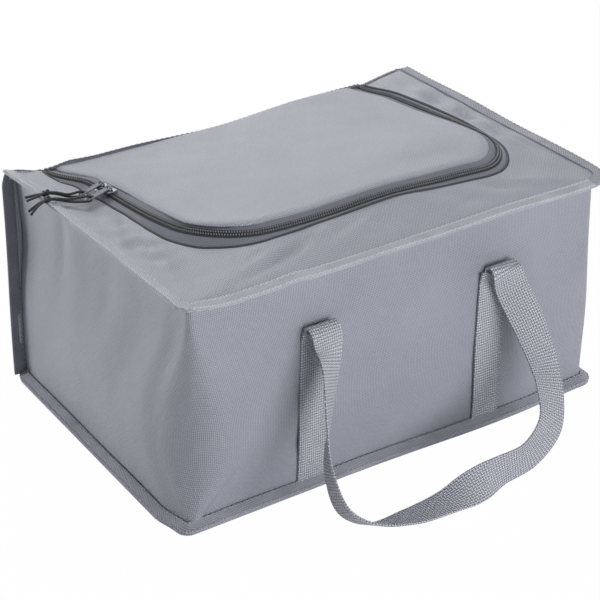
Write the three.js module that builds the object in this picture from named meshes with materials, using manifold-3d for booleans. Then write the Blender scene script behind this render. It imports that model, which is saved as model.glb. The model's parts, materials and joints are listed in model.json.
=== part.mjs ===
// A soft insulated carrier bag: padded walls with a foil lining, bound seams, a zipped lid and two handles.
// Millimetres, Z up, X along the long front, front towards -Y, origin on the floor under the bag's middle.
import * as THREE from 'three';
import Module from 'manifold-3d';
import { mergeVertices } from 'three/addons/utils/BufferGeometryUtils.js';

// The body
const BODY_LENGTH = 430;
const BODY_DEPTH = 296;
const BODY_HEIGHT = 213;
const CORNER_RADIUS = 14;
const SEAM_WIDTH = 11;
const BACK_SEAM_WIDTH = 6;
const BACK_DROP = 8;
const BACK_CORNER_RADIUS = 8;

// Layers, and the clearance left between any two of them
const FABRIC = 1.0;
const FOAM = 4.0;
const LINING = 0.6;
const BOARD = 2.0;
const BINDING = 0.8;
const GAP = 0.3;

// The lid and its zip
const ZIP_SIDE_INSET = 45;
const ZIP_FRONT_INSET = 52;
const ZIP_RADIUS = 60;
const LID_SHIFT = 5;
const LEG_BEND_LENGTH = 46;
const LEFT_LEG_BEND = 18;
const RIGHT_LEG_BEND = 8;
const LID_RISE = 19;
const ZIP_TAPE = 0.7;
const ZIP_TAPE_WIDTH = 14;
const COIL_WIDTH = 2.4;
const COIL_HEIGHT = 2.2;
const CHAIN_GROOVE = 1.6;
const FRAME_EDGE = 10;
const LID_EDGE = 7.5;
const LID_PADDING_EDGE = 8;
const HINGE_STAND_OFF = 1.5;

// The sliders and their pulls
const SLIDER_MIDDLE_Y = 68;
const SLIDER_PITCH = 14;
const SLIDER_LENGTH = 13;
const SLIDER_WIDTH = 11;
const SLIDER_PLATE = 1.2;
const SLIDER_SIDE = 1.2;
const POST_WIDTH = 1.0;
const BAIL_ROD_RADIUS = 0.8;
const BAIL_POST = 1.5;
const EYE_CLEARANCE = 0.25;
const EYE_WALL = 1.0;
const EYE_WIDTH = 4.4;
const PULL_LENGTH = 24;
const PULL_WIDTH = 6.5;
const PULL_THICKNESS = 1.4;
const PULL_SLOT_LENGTH = 4.5;
const PULL_SLOT_WIDTH = 3.2;
const PULL_END_BAR = 2.5;
const PULL_LIFT = THREE.MathUtils.degToRad(-1);
const CORD_RADIUS = 0.9;

// The handles
const WEBBING_WIDTH = 30;
const WEBBING = 2.0;
const HANDLE_SPREAD = 192;
const HANDLE_SHIFT = 4;
const HANDLE_TOP = 156;

const ARC_STEPS = 8;
const SIDE_STEPS = 12;
const halfX = BODY_LENGTH / 2;
const halfY = BODY_DEPTH / 2;
const seamStack = 2 * BINDING + 2 * GAP + FABRIC;
const seamTuck = SEAM_WIDTH - BINDING - GAP;
const wallFoot = seamStack + GAP;
const topPlateHigh = BODY_HEIGHT - BINDING - GAP;
const topPlateLow = topPlateHigh - FABRIC;
const frontOfBackSeam = halfY - FABRIC - GAP - BINDING - GAP;
const backHeight = BODY_HEIGHT - BACK_DROP;
const tapeLow = backHeight - BINDING - GAP - FABRIC;

const vec = (x, y, z) => new THREE.Vector3(x, y, z);

const fabricGrey = { color: '#8d919e', roughness: 0.9, metalness: 0 };
const bindingGrey = { color: '#858995', roughness: 0.85, metalness: 0 };
const webbingGrey = { color: '#8f929d', roughness: 0.8, metalness: 0 };
const tapeGrey = { color: '#7d818e', roughness: 0.85, metalness: 0 };
const coilDark = { color: '#3f424b', roughness: 0.55, metalness: 0 };
const gunmetal = { color: '#4a4c52', roughness: 0.35, metalness: 0.9 };
const cordBlack = { color: '#1b1c20', roughness: 0.8, metalness: 0 };
const foamWhite = { color: '#e9e9e6', roughness: 0.95, metalness: 0 };
const foilSilver = { color: '#c4c6c9', roughness: 0.3, metalness: 0.8 };
const boardGrey = { color: '#5d6068', roughness: 0.8, metalness: 0 };

const wasm = await Module();
wasm.setup();

function solid(geometry) {
  const plain = geometry.clone();
  plain.deleteAttribute('normal');
  plain.deleteAttribute('uv');
  const merged = mergeVertices(plain, 1e-5);
  const mesh = new wasm.Mesh({
    numProp: 3,
    vertProperties: new Float32Array(merged.attributes.position.array),
    triVerts: new Uint32Array(merged.index.array),
  });
  return new wasm.Manifold(mesh);
}

function shell(body) {
  const mesh = body.getMesh();
  const geometry = new THREE.BufferGeometry();
  const corners = new Float32Array(mesh.vertProperties);
  geometry.setAttribute('position', new THREE.BufferAttribute(corners, 3));
  geometry.setIndex(new THREE.BufferAttribute(new Uint32Array(mesh.triVerts), 1));
  return geometry;
}

function fused(...geometries) {
  return shell(geometries.map(solid).reduce((whole, next) => whole.add(next)));
}

function box(low, high) {
  const geometry = new THREE.BoxGeometry(high[0] - low[0], high[1] - low[1], high[2] - low[2]);
  return geometry.translate((low[0] + high[0]) / 2, (low[1] + high[1]) / 2, (low[2] + high[2]) / 2);
}

function prism(points, low, high) {
  const shape = new THREE.Shape(points.map(([x, y]) => new THREE.Vector2(x, y)));
  return new THREE.ExtrudeGeometry(shape, { depth: high - low, bevelEnabled: false }).translate(0, 0, low);
}

// A closed skin through a row of matching outlines. The ends are closed over unless the row is a loop.
// Each four-cornered patch is split along its shorter diagonal, so that neighbouring skins bend alike.
function loft(sections, outline, loop) {
  const count = outline.length;
  const corners = sections.flat();
  const faces = [];
  const rows = loop ? sections.length : sections.length - 1;
  for (let row = 0; row < rows; row += 1) {
    const here = row * count;
    const there = ((row + 1) % sections.length) * count;
    for (let side = 0; side < count; side += 1) {
      const next = (side + 1) % count;
      const [a, b, c, d] = [here + side, here + next, there + next, there + side];
      const short = corners[a].distanceTo(corners[c]) <= corners[b].distanceTo(corners[d]);
      faces.push(...(short ? [[a, b, c], [a, c, d]] : [[a, b, d], [b, c, d]]));
    }
  }
  if (!loop) {
    const last = (sections.length - 1) * count;
    const flat = outline.map(([a, b]) => new THREE.Vector2(a, b));
    const turned = THREE.ShapeUtils.isClockWise(flat);
    for (const [a, b, c] of THREE.ShapeUtils.triangulateShape(flat, [])) {
      const start = turned ? [a, b, c] : [c, b, a];
      faces.push(start, start.map((corner) => corner + last).reverse());
    }
  }
  const volume = faces.reduce((sum, [a, b, c]) => {
    return sum + corners[a].dot(vec(0, 0, 0).crossVectors(corners[b], corners[c]));
  }, 0);
  const outward = volume < 0 ? faces.map(([a, b, c]) => [c, b, a]) : faces;
  const geometry = new THREE.BufferGeometry();
  const places = corners.flatMap((p) => p.toArray());
  geometry.setAttribute('position', new THREE.Float32BufferAttribute(places, 3));
  geometry.setIndex(outward.flat());
  return geometry;
}

// A path's stations each have a point, an outward and an upward direction. The outline is carried along them.
function sweep(stations, outline, loop = false) {
  const sections = stations.map(({ at, out, up }) => {
    return outline.map(([a, b]) => at.clone().addScaledVector(out, a).addScaledVector(up, b));
  });
  return loft(sections, outline, loop);
}

function arc(centreX, centreY, radius, from, to) {
  const turns = Array.from({ length: ARC_STEPS + 1 }, (_, step) => from + ((to - from) * step) / ARC_STEPS);
  return turns.map((turn) => {
    const out = vec(Math.cos(turn), Math.sin(turn), 0);
    return { at: vec(centreX + radius * out.x, centreY + radius * out.y, 0), out, up: vec(0, 0, 1) };
  });
}

// Left side, front and right side as one path, seen from above, with its front corners rounded.
function threeSides(sideX, frontY, radius, backY) {
  const cornerY = frontY + radius;
  const stride = (cornerY - backY) / SIDE_STEPS;
  const side = (x) => Array.from({ length: SIDE_STEPS }, (_, step) => ({
    at: vec(x, backY + stride * step, 0), out: vec(Math.sign(x), 0, 0), up: vec(0, 0, 1),
  }));
  return [
    ...side(-sideX),
    ...arc(radius - sideX, cornerY, radius, Math.PI, 1.5 * Math.PI),
    ...arc(sideX - radius, cornerY, radius, 1.5 * Math.PI, 2 * Math.PI),
    ...side(sideX).reverse(),
  ];
}

function fourSides(sideX, sideY, radius) {
  return [
    ...arc(radius - sideX, radius - sideY, radius, Math.PI, 1.5 * Math.PI),
    ...arc(sideX - radius, radius - sideY, radius, 1.5 * Math.PI, 2 * Math.PI),
    ...arc(sideX - radius, sideY - radius, radius, 0, 0.5 * Math.PI),
    ...arc(radius - sideX, sideY - radius, radius, 0.5 * Math.PI, Math.PI),
  ];
}

function offset(stations, distance) {
  return stations.map(({ at, out }) => at.clone().addScaledVector(out, distance));
}

function band(inner, outer, low, high) {
  return [[inner, low], [outer, low], [outer, high], [inner, high]];
}

// A folded tape: two legs around a seam edge, closed on the outside.
function foldedTape(low, high, width = SEAM_WIDTH) {
  return [
    [GAP, low], [width, low], [width, high], [GAP, high],
    [GAP, high - BINDING], [width - BINDING, high - BINDING],
    [width - BINDING, low + BINDING], [GAP, low + BINDING],
  ];
}

const carrier = new THREE.Group();
carrier.name = 'casserole_carrier';

function add(name, geometry, look) {
  const whole = geometry.index ? geometry.toNonIndexed() : geometry;
  whole.computeVertexNormals();
  const mesh = new THREE.Mesh(whole, new THREE.MeshStandardMaterial(look));
  mesh.name = name;
  carrier.add(mesh);
}

// Walls and base
const wallPath = threeSides(halfX, -halfY, CORNER_RADIUS, frontOfBackSeam);
const basePath = fourSides(halfX, halfY, CORNER_RADIUS);
const baseOutline = (distance) => offset(basePath, distance).map((p) => [p.x, p.y]);
const basePlateLow = BINDING + GAP;
const basePlateHigh = basePlateLow + FABRIC;
add('base_panel', fused(
  prism(baseOutline(0), 0, basePlateHigh),
  prism(baseOutline(seamTuck), basePlateLow, basePlateHigh),
), fabricGrey);
add('base_binding', sweep(basePath, foldedTape(0, seamStack), true), bindingGrey);
add('wall_wrap', sweep(wallPath, band(-FABRIC, 0, wallFoot, topPlateLow - GAP)), fabricGrey);

// Padding and lining of the body
const padOut = FABRIC + GAP;
const padIn = padOut + FOAM;
const tubX = halfX - padIn - GAP;
const tubY = halfY - padIn - GAP;
const framePadDrop = GAP + ZIP_TAPE + GAP;
const underTop = topPlateLow - framePadDrop - FOAM - GAP - LINING - GAP;
const sideTop = underTop - (BACK_DROP * padIn) / (ZIP_SIDE_INSET - FRAME_EDGE);
const tubTop = tapeLow - GAP - FOAM - GAP - LINING - GAP;
const boardLow = basePlateHigh + GAP;
const basePadLow = boardLow + BOARD + GAP;
const tubLow = basePadLow + FOAM + GAP;
add('base_board', box([-tubX, -tubY, boardLow], [tubX, tubY, boardLow + BOARD]), boardGrey);
add('base_foam', box([-tubX, -tubY, basePadLow], [tubX, tubY, basePadLow + FOAM]), foamWhite);
const padEndX = halfX - CORNER_RADIUS;
const padEndY = halfY - CORNER_RADIUS;
add('front_foam', box([-padEndX, padOut - halfY, wallFoot], [padEndX, padIn - halfY, sideTop]), foamWhite);
add('back_foam', box([-tubX, halfY - padIn, wallFoot], [tubX, halfY - padOut, tubTop]), foamWhite);
const sideLow = [-padEndY, wallFoot];
const sideHigh = [frontOfBackSeam, sideTop];
add('left_foam', box([padOut - halfX, ...sideLow], [padIn - halfX, ...sideHigh]), foamWhite);
add('right_foam', box([halfX - padIn, ...sideLow], [halfX - padOut, ...sideHigh]), foamWhite);
const tubOuter = solid(box([-tubX, -tubY, tubLow], [tubX, tubY, tubTop]));
const tubHollow = solid(box(
  [LINING - tubX, LINING - tubY, tubLow + LINING],
  [tubX - LINING, tubY - LINING, tubTop + LINING],
));
add('lining_tub', shell(tubOuter.subtract(tubHollow)), foilSilver);

// The lid lies on a plane that turns up from the hinge line, so that its zip stands higher at the front.
const zipX = halfX - ZIP_SIDE_INSET;
const zipFront = ZIP_FRONT_INSET - halfY;
const hingeY = halfY + HINGE_STAND_OFF;
const lidTilt = Math.asin(LID_RISE / (hingeY - zipFront));
// On their last stretch to the hinge both legs of the zip bend to the left.
function legBend({ x, y }) {
  const share = THREE.MathUtils.smoothstep(y, frontOfBackSeam - LEG_BEND_LENGTH, frontOfBackSeam);
  return share * (x < 0 ? LEFT_LEG_BEND : RIGHT_LEG_BEND);
}
const zipPath = threeSides(zipX, zipFront, ZIP_RADIUS, frontOfBackSeam).map(({ at, out, up }) => ({
  at: vec(at.x - legBend(at), at.y, at.z), out, up,
}));
function onLid(point) {
  return vec(point.x, point.y - hingeY, point.z).applyAxisAngle(vec(-1, 0, 0), lidTilt)
    .add(vec(LID_SHIFT, hingeY, tapeLow));
}
function tiltedOnLid(geometry) {
  return geometry.translate(0, -hingeY, 0).rotateX(-lidTilt).translate(LID_SHIFT, hingeY, tapeLow);
}
const lidPath = zipPath.map(({ at, out, up }) => ({
  at: onLid(at),
  out: out.clone().applyAxisAngle(vec(-1, 0, 0), lidTilt),
  up: up.clone().applyAxisAngle(vec(-1, 0, 0), lidTilt),
}));
const clothLow = ZIP_TAPE + GAP;
const clothHigh = clothLow + FABRIC;
const groove = CHAIN_GROOVE / 2;
const coilLow = ZIP_TAPE + GAP;
add('zip_tape_body', sweep(lidPath, band(groove, FRAME_EDGE - GAP, 0, ZIP_TAPE)), tapeGrey);
add('zip_tape_lid', sweep(lidPath, band(-ZIP_TAPE_WIDTH, -groove, 0, ZIP_TAPE)), tapeGrey);
const coilHigh = coilLow + COIL_HEIGHT;
add('zip_coil_body', sweep(lidPath, band(groove, groove + COIL_WIDTH, coilLow, coilHigh)), coilDark);
add('zip_coil_lid', sweep(lidPath, band(-groove - COIL_WIDTH, -groove, coilLow, coilHigh)), coilDark);

// The top panel runs from its bound seam over the wall and rises to the zip.
const seamEdge = offset(wallPath, seamTuck);
const wallEdge = offset(wallPath, 0);
const frameEdge = offset(zipPath, FRAME_EDGE);
function atHeight(point, height) {
  return vec(point.x, point.y, height);
}
const frameSections = wallPath.map((_, i) => [
  atHeight(seamEdge[i], topPlateLow),
  atHeight(wallEdge[i], topPlateLow),
  onLid(atHeight(frameEdge[i], clothLow)),
  onLid(atHeight(frameEdge[i], clothHigh)),
  atHeight(wallEdge[i], topPlateHigh),
  atHeight(seamEdge[i], topPlateHigh),
]);
const frameOutline = [[0, 0], [1, 0], [2, 1], [2, 2], [1, 1], [0, 1]];
add('top_frame', loft(frameSections, frameOutline, false), fabricGrey);
add('top_binding', sweep(wallPath, foldedTape(BODY_HEIGHT - seamStack, BODY_HEIGHT)), bindingGrey);

const FRAME_PAD_FROM = 0.05;
const FRAME_PAD_TO = 0.95;
function underFrame(drop, thickness) {
  return wallPath.map((_, i) => {
    const outer = atHeight(wallEdge[i], topPlateLow - drop);
    const inner = onLid(atHeight(frameEdge[i], clothLow)).add(vec(0, 0, -drop));
    const from = outer.clone().lerp(inner, FRAME_PAD_FROM);
    const to = outer.clone().lerp(inner, FRAME_PAD_TO);
    const down = vec(0, 0, -thickness);
    return [from.clone().add(down), to.clone().add(down), to, from];
  });
}
const strip = band(0, 1, 0, 1);
add('top_frame_foam', loft(underFrame(framePadDrop, FOAM), strip, false), foamWhite);
add('top_frame_lining', loft(underFrame(framePadDrop + FOAM + GAP, LINING), strip, false), foilSilver);

// The back panel's seam is bound down its sides and, with a narrower tape, along its top beside the lid.
const hingeHalf = zipX - groove;
const flangeFrom = zipX + groove;
const backFoot = wallFoot;
const backArc = arc(
  BACK_CORNER_RADIUS - halfX, backHeight - BACK_CORNER_RADIUS, BACK_CORNER_RADIUS, Math.PI, Math.PI / 2,
);
function backPath(lidSideX) {
  return [
    { at: vec(-halfX, backFoot, 0), out: vec(-1, 0, 0), width: SEAM_WIDTH },
    ...backArc.map((station, i) => ({
      ...station, width: THREE.MathUtils.lerp(SEAM_WIDTH, BACK_SEAM_WIDTH, i / ARC_STEPS),
    })),
    { at: vec(-lidSideX, backHeight, 0), out: vec(0, 1, 0), width: BACK_SEAM_WIDTH },
  ];
}
const leftOfLid = flangeFrom - LID_SHIFT + LEFT_LEG_BEND;
const rightOfLid = flangeFrom + LID_SHIFT - RIGHT_LEG_BEND;
function backEdge(side, lidSideX) {
  return backPath(lidSideX).map(({ at, out, width }) => {
    const edge = at.clone().addScaledVector(out, width - BINDING - GAP);
    return [side * edge.x, edge.y];
  });
}
const backMiddleTop = tapeLow - GAP;
const backOutline = [
  ...backEdge(1, leftOfLid),
  [-leftOfLid, backMiddleTop],
  [rightOfLid, backMiddleTop],
  ...backEdge(-1, rightOfLid).reverse(),
];
const backPanel = prism(backOutline, -halfY, FABRIC - halfY).rotateX(Math.PI / 2);
add('back_panel', backPanel, fabricGrey);
const seamBehind = halfY + GAP + BINDING;
function backBinding(side, lidSideX) {
  const sections = backPath(lidSideX).map(({ at, out, width }) => {
    return foldedTape(seamBehind - seamStack, seamBehind, width).map(([a, b]) => {
      return vec(side * (at.x + a * out.x), b, at.y + a * out.y);
    });
  });
  return loft(sections, foldedTape(0, seamStack), false);
}
add('back_binding_left', backBinding(1, leftOfLid), bindingGrey);
add('back_binding_right', backBinding(-1, rightOfLid), bindingGrey);

// The lid: cloth with a hem that stands in its own bound seam behind, padding and lining
function lidOutline(edge, backY) {
  const points = offset(zipPath, -edge).map((p) => [p.x, Math.min(p.y, backY)]);
  const first = points[0];
  const last = points[points.length - 1];
  first[1] = backY;
  last[1] = backY;
  return points;
}
const hemTop = backHeight + BACK_SEAM_WIDTH - BINDING - GAP;
const lidLeft = LID_SHIFT - hingeHalf - LEFT_LEG_BEND;
const lidRight = LID_SHIFT + hingeHalf - RIGHT_LEG_BEND;
const hem = box([lidLeft, halfY - FABRIC, tapeLow], [lidRight, halfY, hemTop]);
const hemShelf = box([lidLeft, frontOfBackSeam + GAP, tapeLow], [lidRight, halfY, tapeLow + FABRIC]);
const lidCloth = tiltedOnLid(prism(lidOutline(LID_EDGE, halfY), clothLow, clothHigh));
add('lid_panel', fused(lidCloth, hemShelf, hem), fabricGrey);
const lidSeam = [lidLeft, lidRight].map((x) => ({
  at: vec(x, 0, backHeight), out: vec(0, 0, 1), up: vec(0, 1, 0),
}));
const lidTape = foldedTape(seamBehind - seamStack, seamBehind, BACK_SEAM_WIDTH);
add('lid_binding', sweep(lidSeam, lidTape), bindingGrey);
const lidPadBack = halfY - padIn;
add('lid_foam', tiltedOnLid(prism(lidOutline(LID_PADDING_EDGE, lidPadBack), -GAP - FOAM, -GAP)), foamWhite);
const lidLiningHigh = -GAP - FOAM - GAP;
add('lid_lining', tiltedOnLid(
  prism(lidOutline(LID_PADDING_EDGE, lidPadBack), lidLiningHigh - LINING, lidLiningHigh),
), foilSilver);

// Two sliders stand head to head on the left leg of the zip. Each has a bail, and a pull hangs on its rod.
const plateLow = coilHigh + GAP;
const plateHigh = plateLow + SLIDER_PLATE;
const footHigh = -GAP;
const eyeRadius = BAIL_ROD_RADIUS + EYE_CLEARANCE + EYE_WALL;
const rodHeight = plateHigh + GAP + eyeRadius;
const bailHalf = EYE_WIDTH / 2 + GAP + BAIL_POST;
function sliderAt(y) {
  const across = SLIDER_WIDTH / 2;
  const along = SLIDER_LENGTH / 2;
  const sideInner = across - SLIDER_SIDE;
  const rod = new THREE.CylinderGeometry(BAIL_ROD_RADIUS, BAIL_ROD_RADIUS, 2 * bailHalf, 24);
  const pieces = [
    box([-across, -along, plateLow], [across, along, plateHigh]),
    box([-across, -along, footHigh - SLIDER_PLATE], [across, along, footHigh]),
    box([-POST_WIDTH / 2, -along / 2, footHigh - GAP], [POST_WIDTH / 2, along / 2, plateLow + GAP]),
    box([-across, -along, coilLow + GAP], [-sideInner, along, plateLow + GAP]),
    box([sideInner, -along, coilLow + GAP], [across, along, plateLow + GAP]),
    box([-BAIL_ROD_RADIUS, -bailHalf, plateLow + GAP], [BAIL_ROD_RADIUS, BAIL_POST - bailHalf, rodHeight]),
    box([-BAIL_ROD_RADIUS, bailHalf - BAIL_POST, plateLow + GAP], [BAIL_ROD_RADIUS, bailHalf, rodHeight]),
    rod.translate(0, 0, rodHeight),
  ];
  return tiltedOnLid(fused(...pieces).translate(-zipX, y, 0));
}

// A pull and its cord are drawn along +X with the rod at the origin, and are then turned to lie outwards.
function placedPull(geometry, y) {
  const outwards = geometry.rotateY(-PULL_LIFT).rotateZ(Math.PI);
  return tiltedOnLid(outwards.translate(-zipX, y, rodHeight));
}
function pullAt(y) {
  const half = PULL_THICKNESS / 2;
  const slotTo = PULL_LENGTH - PULL_END_BAR;
  const slotFrom = slotTo - PULL_SLOT_LENGTH;
  const neck = SLIDER_WIDTH / 2 + GAP;
  const eye = solid(new THREE.CylinderGeometry(eyeRadius, eyeRadius, EYE_WIDTH, 24));
  const stem = solid(box([0, -EYE_WIDTH / 2, -half], [neck + GAP, EYE_WIDTH / 2, half]));
  const blade = solid(box([neck, -PULL_WIDTH / 2, -half], [PULL_LENGTH, PULL_WIDTH / 2, half]));
  const bore = BAIL_ROD_RADIUS + EYE_CLEARANCE;
  const hole = solid(new THREE.CylinderGeometry(bore, bore, 2 * EYE_WIDTH, 24));
  const slot = solid(box(
    [slotFrom, -PULL_SLOT_WIDTH / 2, -PULL_THICKNESS],
    [slotTo, PULL_SLOT_WIDTH / 2, PULL_THICKNESS],
  ));
  return placedPull(shell(eye.add(stem).add(blade).subtract(hole).subtract(slot)), y);
}

// The cord goes through the pull's slot, is knotted beyond its end and stands out over the edge of the top.
// A row is a distance past the knot, across the cord and above it. A tail's last entry is its share of the droop.
// Between the pull's end and the knot the cord climbs over the seam and veers to the hinge.
const CORD_TURN = 2.1;
const CORD_TURN_REACH = 0.9;
const CORD_RISE = 2.2;
const CORD_VEER = 4;
const CORD_KNOT_BACK = 50;
const CORD_KNOT_FRONT = 56;
const CORD_KNOT_RADII = [3.0, 2.4, 2.6];
const CORD_TAIL_SHORTER = 2;
const CORD_STEPS = 44;
const CORD_DROOP_BACK = 0.5;
const CORD_DROOP_FRONT = 8;
const CORD_TAIL = [[20, 4.0, 1.0], [14, 2.6, 0.55], [8, 1.6, 0.2]];
const CORD_STRAND = [[0, 0.4, 1.2], [-8, 0.3, 1.3], [-17, 0.2, 1.6]];
const CORD_SIDES = 8;
function cordAt(y, knotAt, droop) {
  const through = PULL_LENGTH - PULL_END_BAR - PULL_SLOT_LENGTH / 2;
  const carried = (along, across, above) => {
    const share = THREE.MathUtils.smoothstep(along, PULL_LENGTH, knotAt);
    return vec(along, across - share * CORD_VEER, above + share * CORD_RISE);
  };
  const tail = CORD_TAIL.map(([a, b, share]) => [knotAt + a, b, -share * droop]);
  const strand = CORD_STRAND.map(([a, b, c]) => [knotAt + a, b, c]);
  const upper = [...tail, ...strand].map((row) => carried(...row));
  const lowerTail = tail.map(([a, b, c]) => carried(a - CORD_TAIL_SHORTER, -b, c));
  const lowerStrand = strand.map(([a, b, c]) => carried(a - CORD_TAIL_SHORTER, -b, -c));
  const lower = [...lowerTail, ...lowerStrand].reverse();
  const past = through + CORD_TURN_REACH;
  const turn = [vec(past, 0, CORD_TURN), vec(through, 0, 0), vec(past, 0, -CORD_TURN)];
  const points = [...upper, ...turn, ...lower];
  const curve = new THREE.CatmullRomCurve3(points, false, 'centripetal');
  const frames = curve.computeFrenetFrames(CORD_STEPS, false);
  const outline = Array.from({ length: CORD_SIDES }, (_, i) => {
    const angle = (2 * Math.PI * i) / CORD_SIDES;
    return [CORD_RADIUS * Math.cos(angle), CORD_RADIUS * Math.sin(angle)];
  });
  const stations = Array.from({ length: CORD_STEPS + 1 }, (_, i) => ({
    at: curve.getPointAt(i / CORD_STEPS), out: frames.normals[i], up: frames.binormals[i],
  }));
  const middle = carried(knotAt - CORD_TAIL_SHORTER / 2, 0, 0);
  const knot = new THREE.SphereGeometry(1, 12, 8).scale(...CORD_KNOT_RADII).translate(...middle.toArray());
  return placedPull(fused(sweep(stations, outline), knot), y);
}
const sliderPlaces = {
  back: { y: SLIDER_MIDDLE_Y + SLIDER_PITCH / 2, knotAt: CORD_KNOT_BACK, droop: CORD_DROOP_BACK },
  front: { y: SLIDER_MIDDLE_Y - SLIDER_PITCH / 2, knotAt: CORD_KNOT_FRONT, droop: CORD_DROOP_FRONT },
};
for (const [which, { y, knotAt, droop }] of Object.entries(sliderPlaces)) {
  add(`slider_${which}`, sliderAt(y), gunmetal);
  add(`pull_${which}`, pullAt(y), gunmetal);
  add(`pull_cord_${which}`, cordAt(y, knotAt, droop), cordBlack);
}

// Each handle: two legs of webbing sewn flat on the wall, and a loop that folds over their tops and drops.
// Each row of the loop is its distance across, out from the wall and up, then the way that its width points.
const LOOP = [
  [-92, 20, 141, 0.90, 0.06, -0.44], [-96, 28, 126, 0.78, 0.37, -0.51], [-108, 43, 90, 0.55, 0.61, -0.57],
  [-118, 58, 57, 0.31, 0.80, -0.51], [-114, 75, 28, 0.11, 0.81, -0.58], [-92, 88, 13, 0.22, 0.78, -0.59],
  [-56, 94, 9, 0.49, 0.85, -0.18], [-19, 97, 11, 0.34, 0.94, 0.03], [9, 95, 14, 0, 0.75, 0.66],
  [36, 96, 17, -0.46, 0.11, 0.88], [69, 97, 23, -0.63, 0.04, 0.77], [95, 91, 40, -0.71, 0.17, 0.68],
  [111, 72, 56, -0.86, 0.24, 0.44], [120, 50, 75, -0.99, 0.13, 0.10], [118, 30, 104, -0.91, 0.25, -0.32],
  [107, 16, 138, -0.80, 0.39, -0.46],
];
const LOOP_STEPS = 76;
const FOLD_REACH = 5;
const leftLegX = HANDLE_SHIFT - HANDLE_SPREAD / 2;
const rightLegX = HANDLE_SHIFT + HANDLE_SPREAD / 2;
const foldOut = GAP + WEBBING + GAP + WEBBING / 2;
const foldHeight = HANDLE_TOP - WEBBING / 2;
function loopGeometry() {
  const rows = [
    [leftLegX, foldOut, foldHeight, 1, 0, 0],
    [leftLegX, foldOut + FOLD_REACH, foldHeight - FOLD_REACH, 1, 0, 0],
    ...LOOP,
    [rightLegX, foldOut + FOLD_REACH, foldHeight - FOLD_REACH, -1, 0, 0],
    [rightLegX, foldOut, foldHeight, -1, 0, 0],
  ];
  const centres = rows.map(([x, out, z]) => vec(x, -halfY - out, z));
  const middle = new THREE.CatmullRomCurve3(centres, false, 'centripetal');
  const widths = rows.map(([, , , x, y, z]) => vec(x, y, z));
  const widthway = new THREE.CatmullRomCurve3(widths, false, 'catmullrom');
  const stations = Array.from({ length: LOOP_STEPS + 1 }, (_, i) => {
    const along = i / LOOP_STEPS;
    const tangent = middle.getTangent(along);
    const out = widthway.getPoint(along);
    out.addScaledVector(tangent, -out.dot(tangent)).normalize();
    return { at: middle.getPoint(along), out, up: vec(0, 0, 0).crossVectors(tangent, out) };
  });
  const half = WEBBING / 2;
  const outline = band(-WEBBING_WIDTH / 2, WEBBING_WIDTH / 2, -half, half);
  const sections = stations.map(({ at, out, up }) => {
    return outline.map(([a, b]) => at.clone().addScaledVector(out, a).addScaledVector(up, b));
  });
  return loft(sections, outline, false);
}
function legGeometry(middle) {
  return box(
    [middle - WEBBING_WIDTH / 2, -halfY - GAP - WEBBING, wallFoot],
    [middle + WEBBING_WIDTH / 2, -halfY - GAP, HANDLE_TOP],
  );
}
for (const [which, turn] of Object.entries({ front: 0, back: Math.PI })) {
  add(`${which}_handle_leg_left`, legGeometry(leftLegX).rotateZ(turn), webbingGrey);
  add(`${which}_handle_leg_right`, legGeometry(rightLegX).rotateZ(turn), webbingGrey);
  add(`${which}_handle_loop`, loopGeometry().rotateZ(turn), webbingGrey);
}

export default carrier;
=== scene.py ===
"""Dresses a soft insulated carrier bag: padded cloth walls, bound seams, zip, lid, straps, lining.

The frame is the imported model's own: X runs along the bag, Y to its back and Z up, in metres.
Sizes that a maker would measure are written in millimetres and turned to metres by MM.
"""

import json
import logging
import math
from dataclasses import dataclass, field
from enum import Enum
from typing import Callable, Optional, Sequence

import bpy
import numpy as np
from mathutils import Matrix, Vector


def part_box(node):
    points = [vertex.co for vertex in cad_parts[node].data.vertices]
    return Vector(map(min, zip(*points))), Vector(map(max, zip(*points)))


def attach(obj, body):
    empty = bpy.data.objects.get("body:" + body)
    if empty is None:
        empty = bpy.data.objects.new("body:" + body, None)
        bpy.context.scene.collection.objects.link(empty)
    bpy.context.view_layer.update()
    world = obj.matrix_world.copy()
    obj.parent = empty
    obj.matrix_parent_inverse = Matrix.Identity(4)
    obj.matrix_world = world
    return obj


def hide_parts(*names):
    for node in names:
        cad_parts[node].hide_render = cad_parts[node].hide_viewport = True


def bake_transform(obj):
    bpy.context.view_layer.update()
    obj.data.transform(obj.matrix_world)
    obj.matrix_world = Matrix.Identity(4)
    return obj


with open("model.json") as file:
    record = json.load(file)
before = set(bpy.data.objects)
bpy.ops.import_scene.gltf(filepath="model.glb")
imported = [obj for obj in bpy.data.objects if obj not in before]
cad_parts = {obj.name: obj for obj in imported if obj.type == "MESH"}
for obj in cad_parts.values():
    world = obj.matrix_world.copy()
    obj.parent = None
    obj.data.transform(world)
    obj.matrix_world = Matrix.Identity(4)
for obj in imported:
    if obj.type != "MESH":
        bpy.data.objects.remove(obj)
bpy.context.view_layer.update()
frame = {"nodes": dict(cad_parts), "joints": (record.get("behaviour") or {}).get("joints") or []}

LOG = logging.getLogger("carrier")
Array = np.ndarray
Tree = bpy.types.NodeTree
Node = bpy.types.Node
Socket = bpy.types.NodeSocket
MM = 0.001
CUT_MAP = "cut_metres"
CLOTH_THICK = 1.0 * MM
FILM_THICK = 0.5 * MM

# Points that a surface's faces look away from.
BAG_MIDDLE = (0.0, 0.0, 0.1)
UNDER_BAG = (0.0, 0.0, -0.1)
OVER_BAG = (0.0, 0.0, 0.6)
FAR_OVER_BAG = (0.0, 0.0, 5.0)

# At this scale the bands of a wave texture are one unit apart.
ONE_BAND = math.pi / 10

# Stations along the open front rim, shared by every surface that meets another on it.
SIDE_STATIONS = 76
FRONT_STATIONS = 110
CORNER_STATIONS = 16


class Side(Enum):
    """The three walls that the bag's one-piece front cloth goes round."""

    LEFT = "left"
    FRONT = "front"
    RIGHT = "right"


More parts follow.
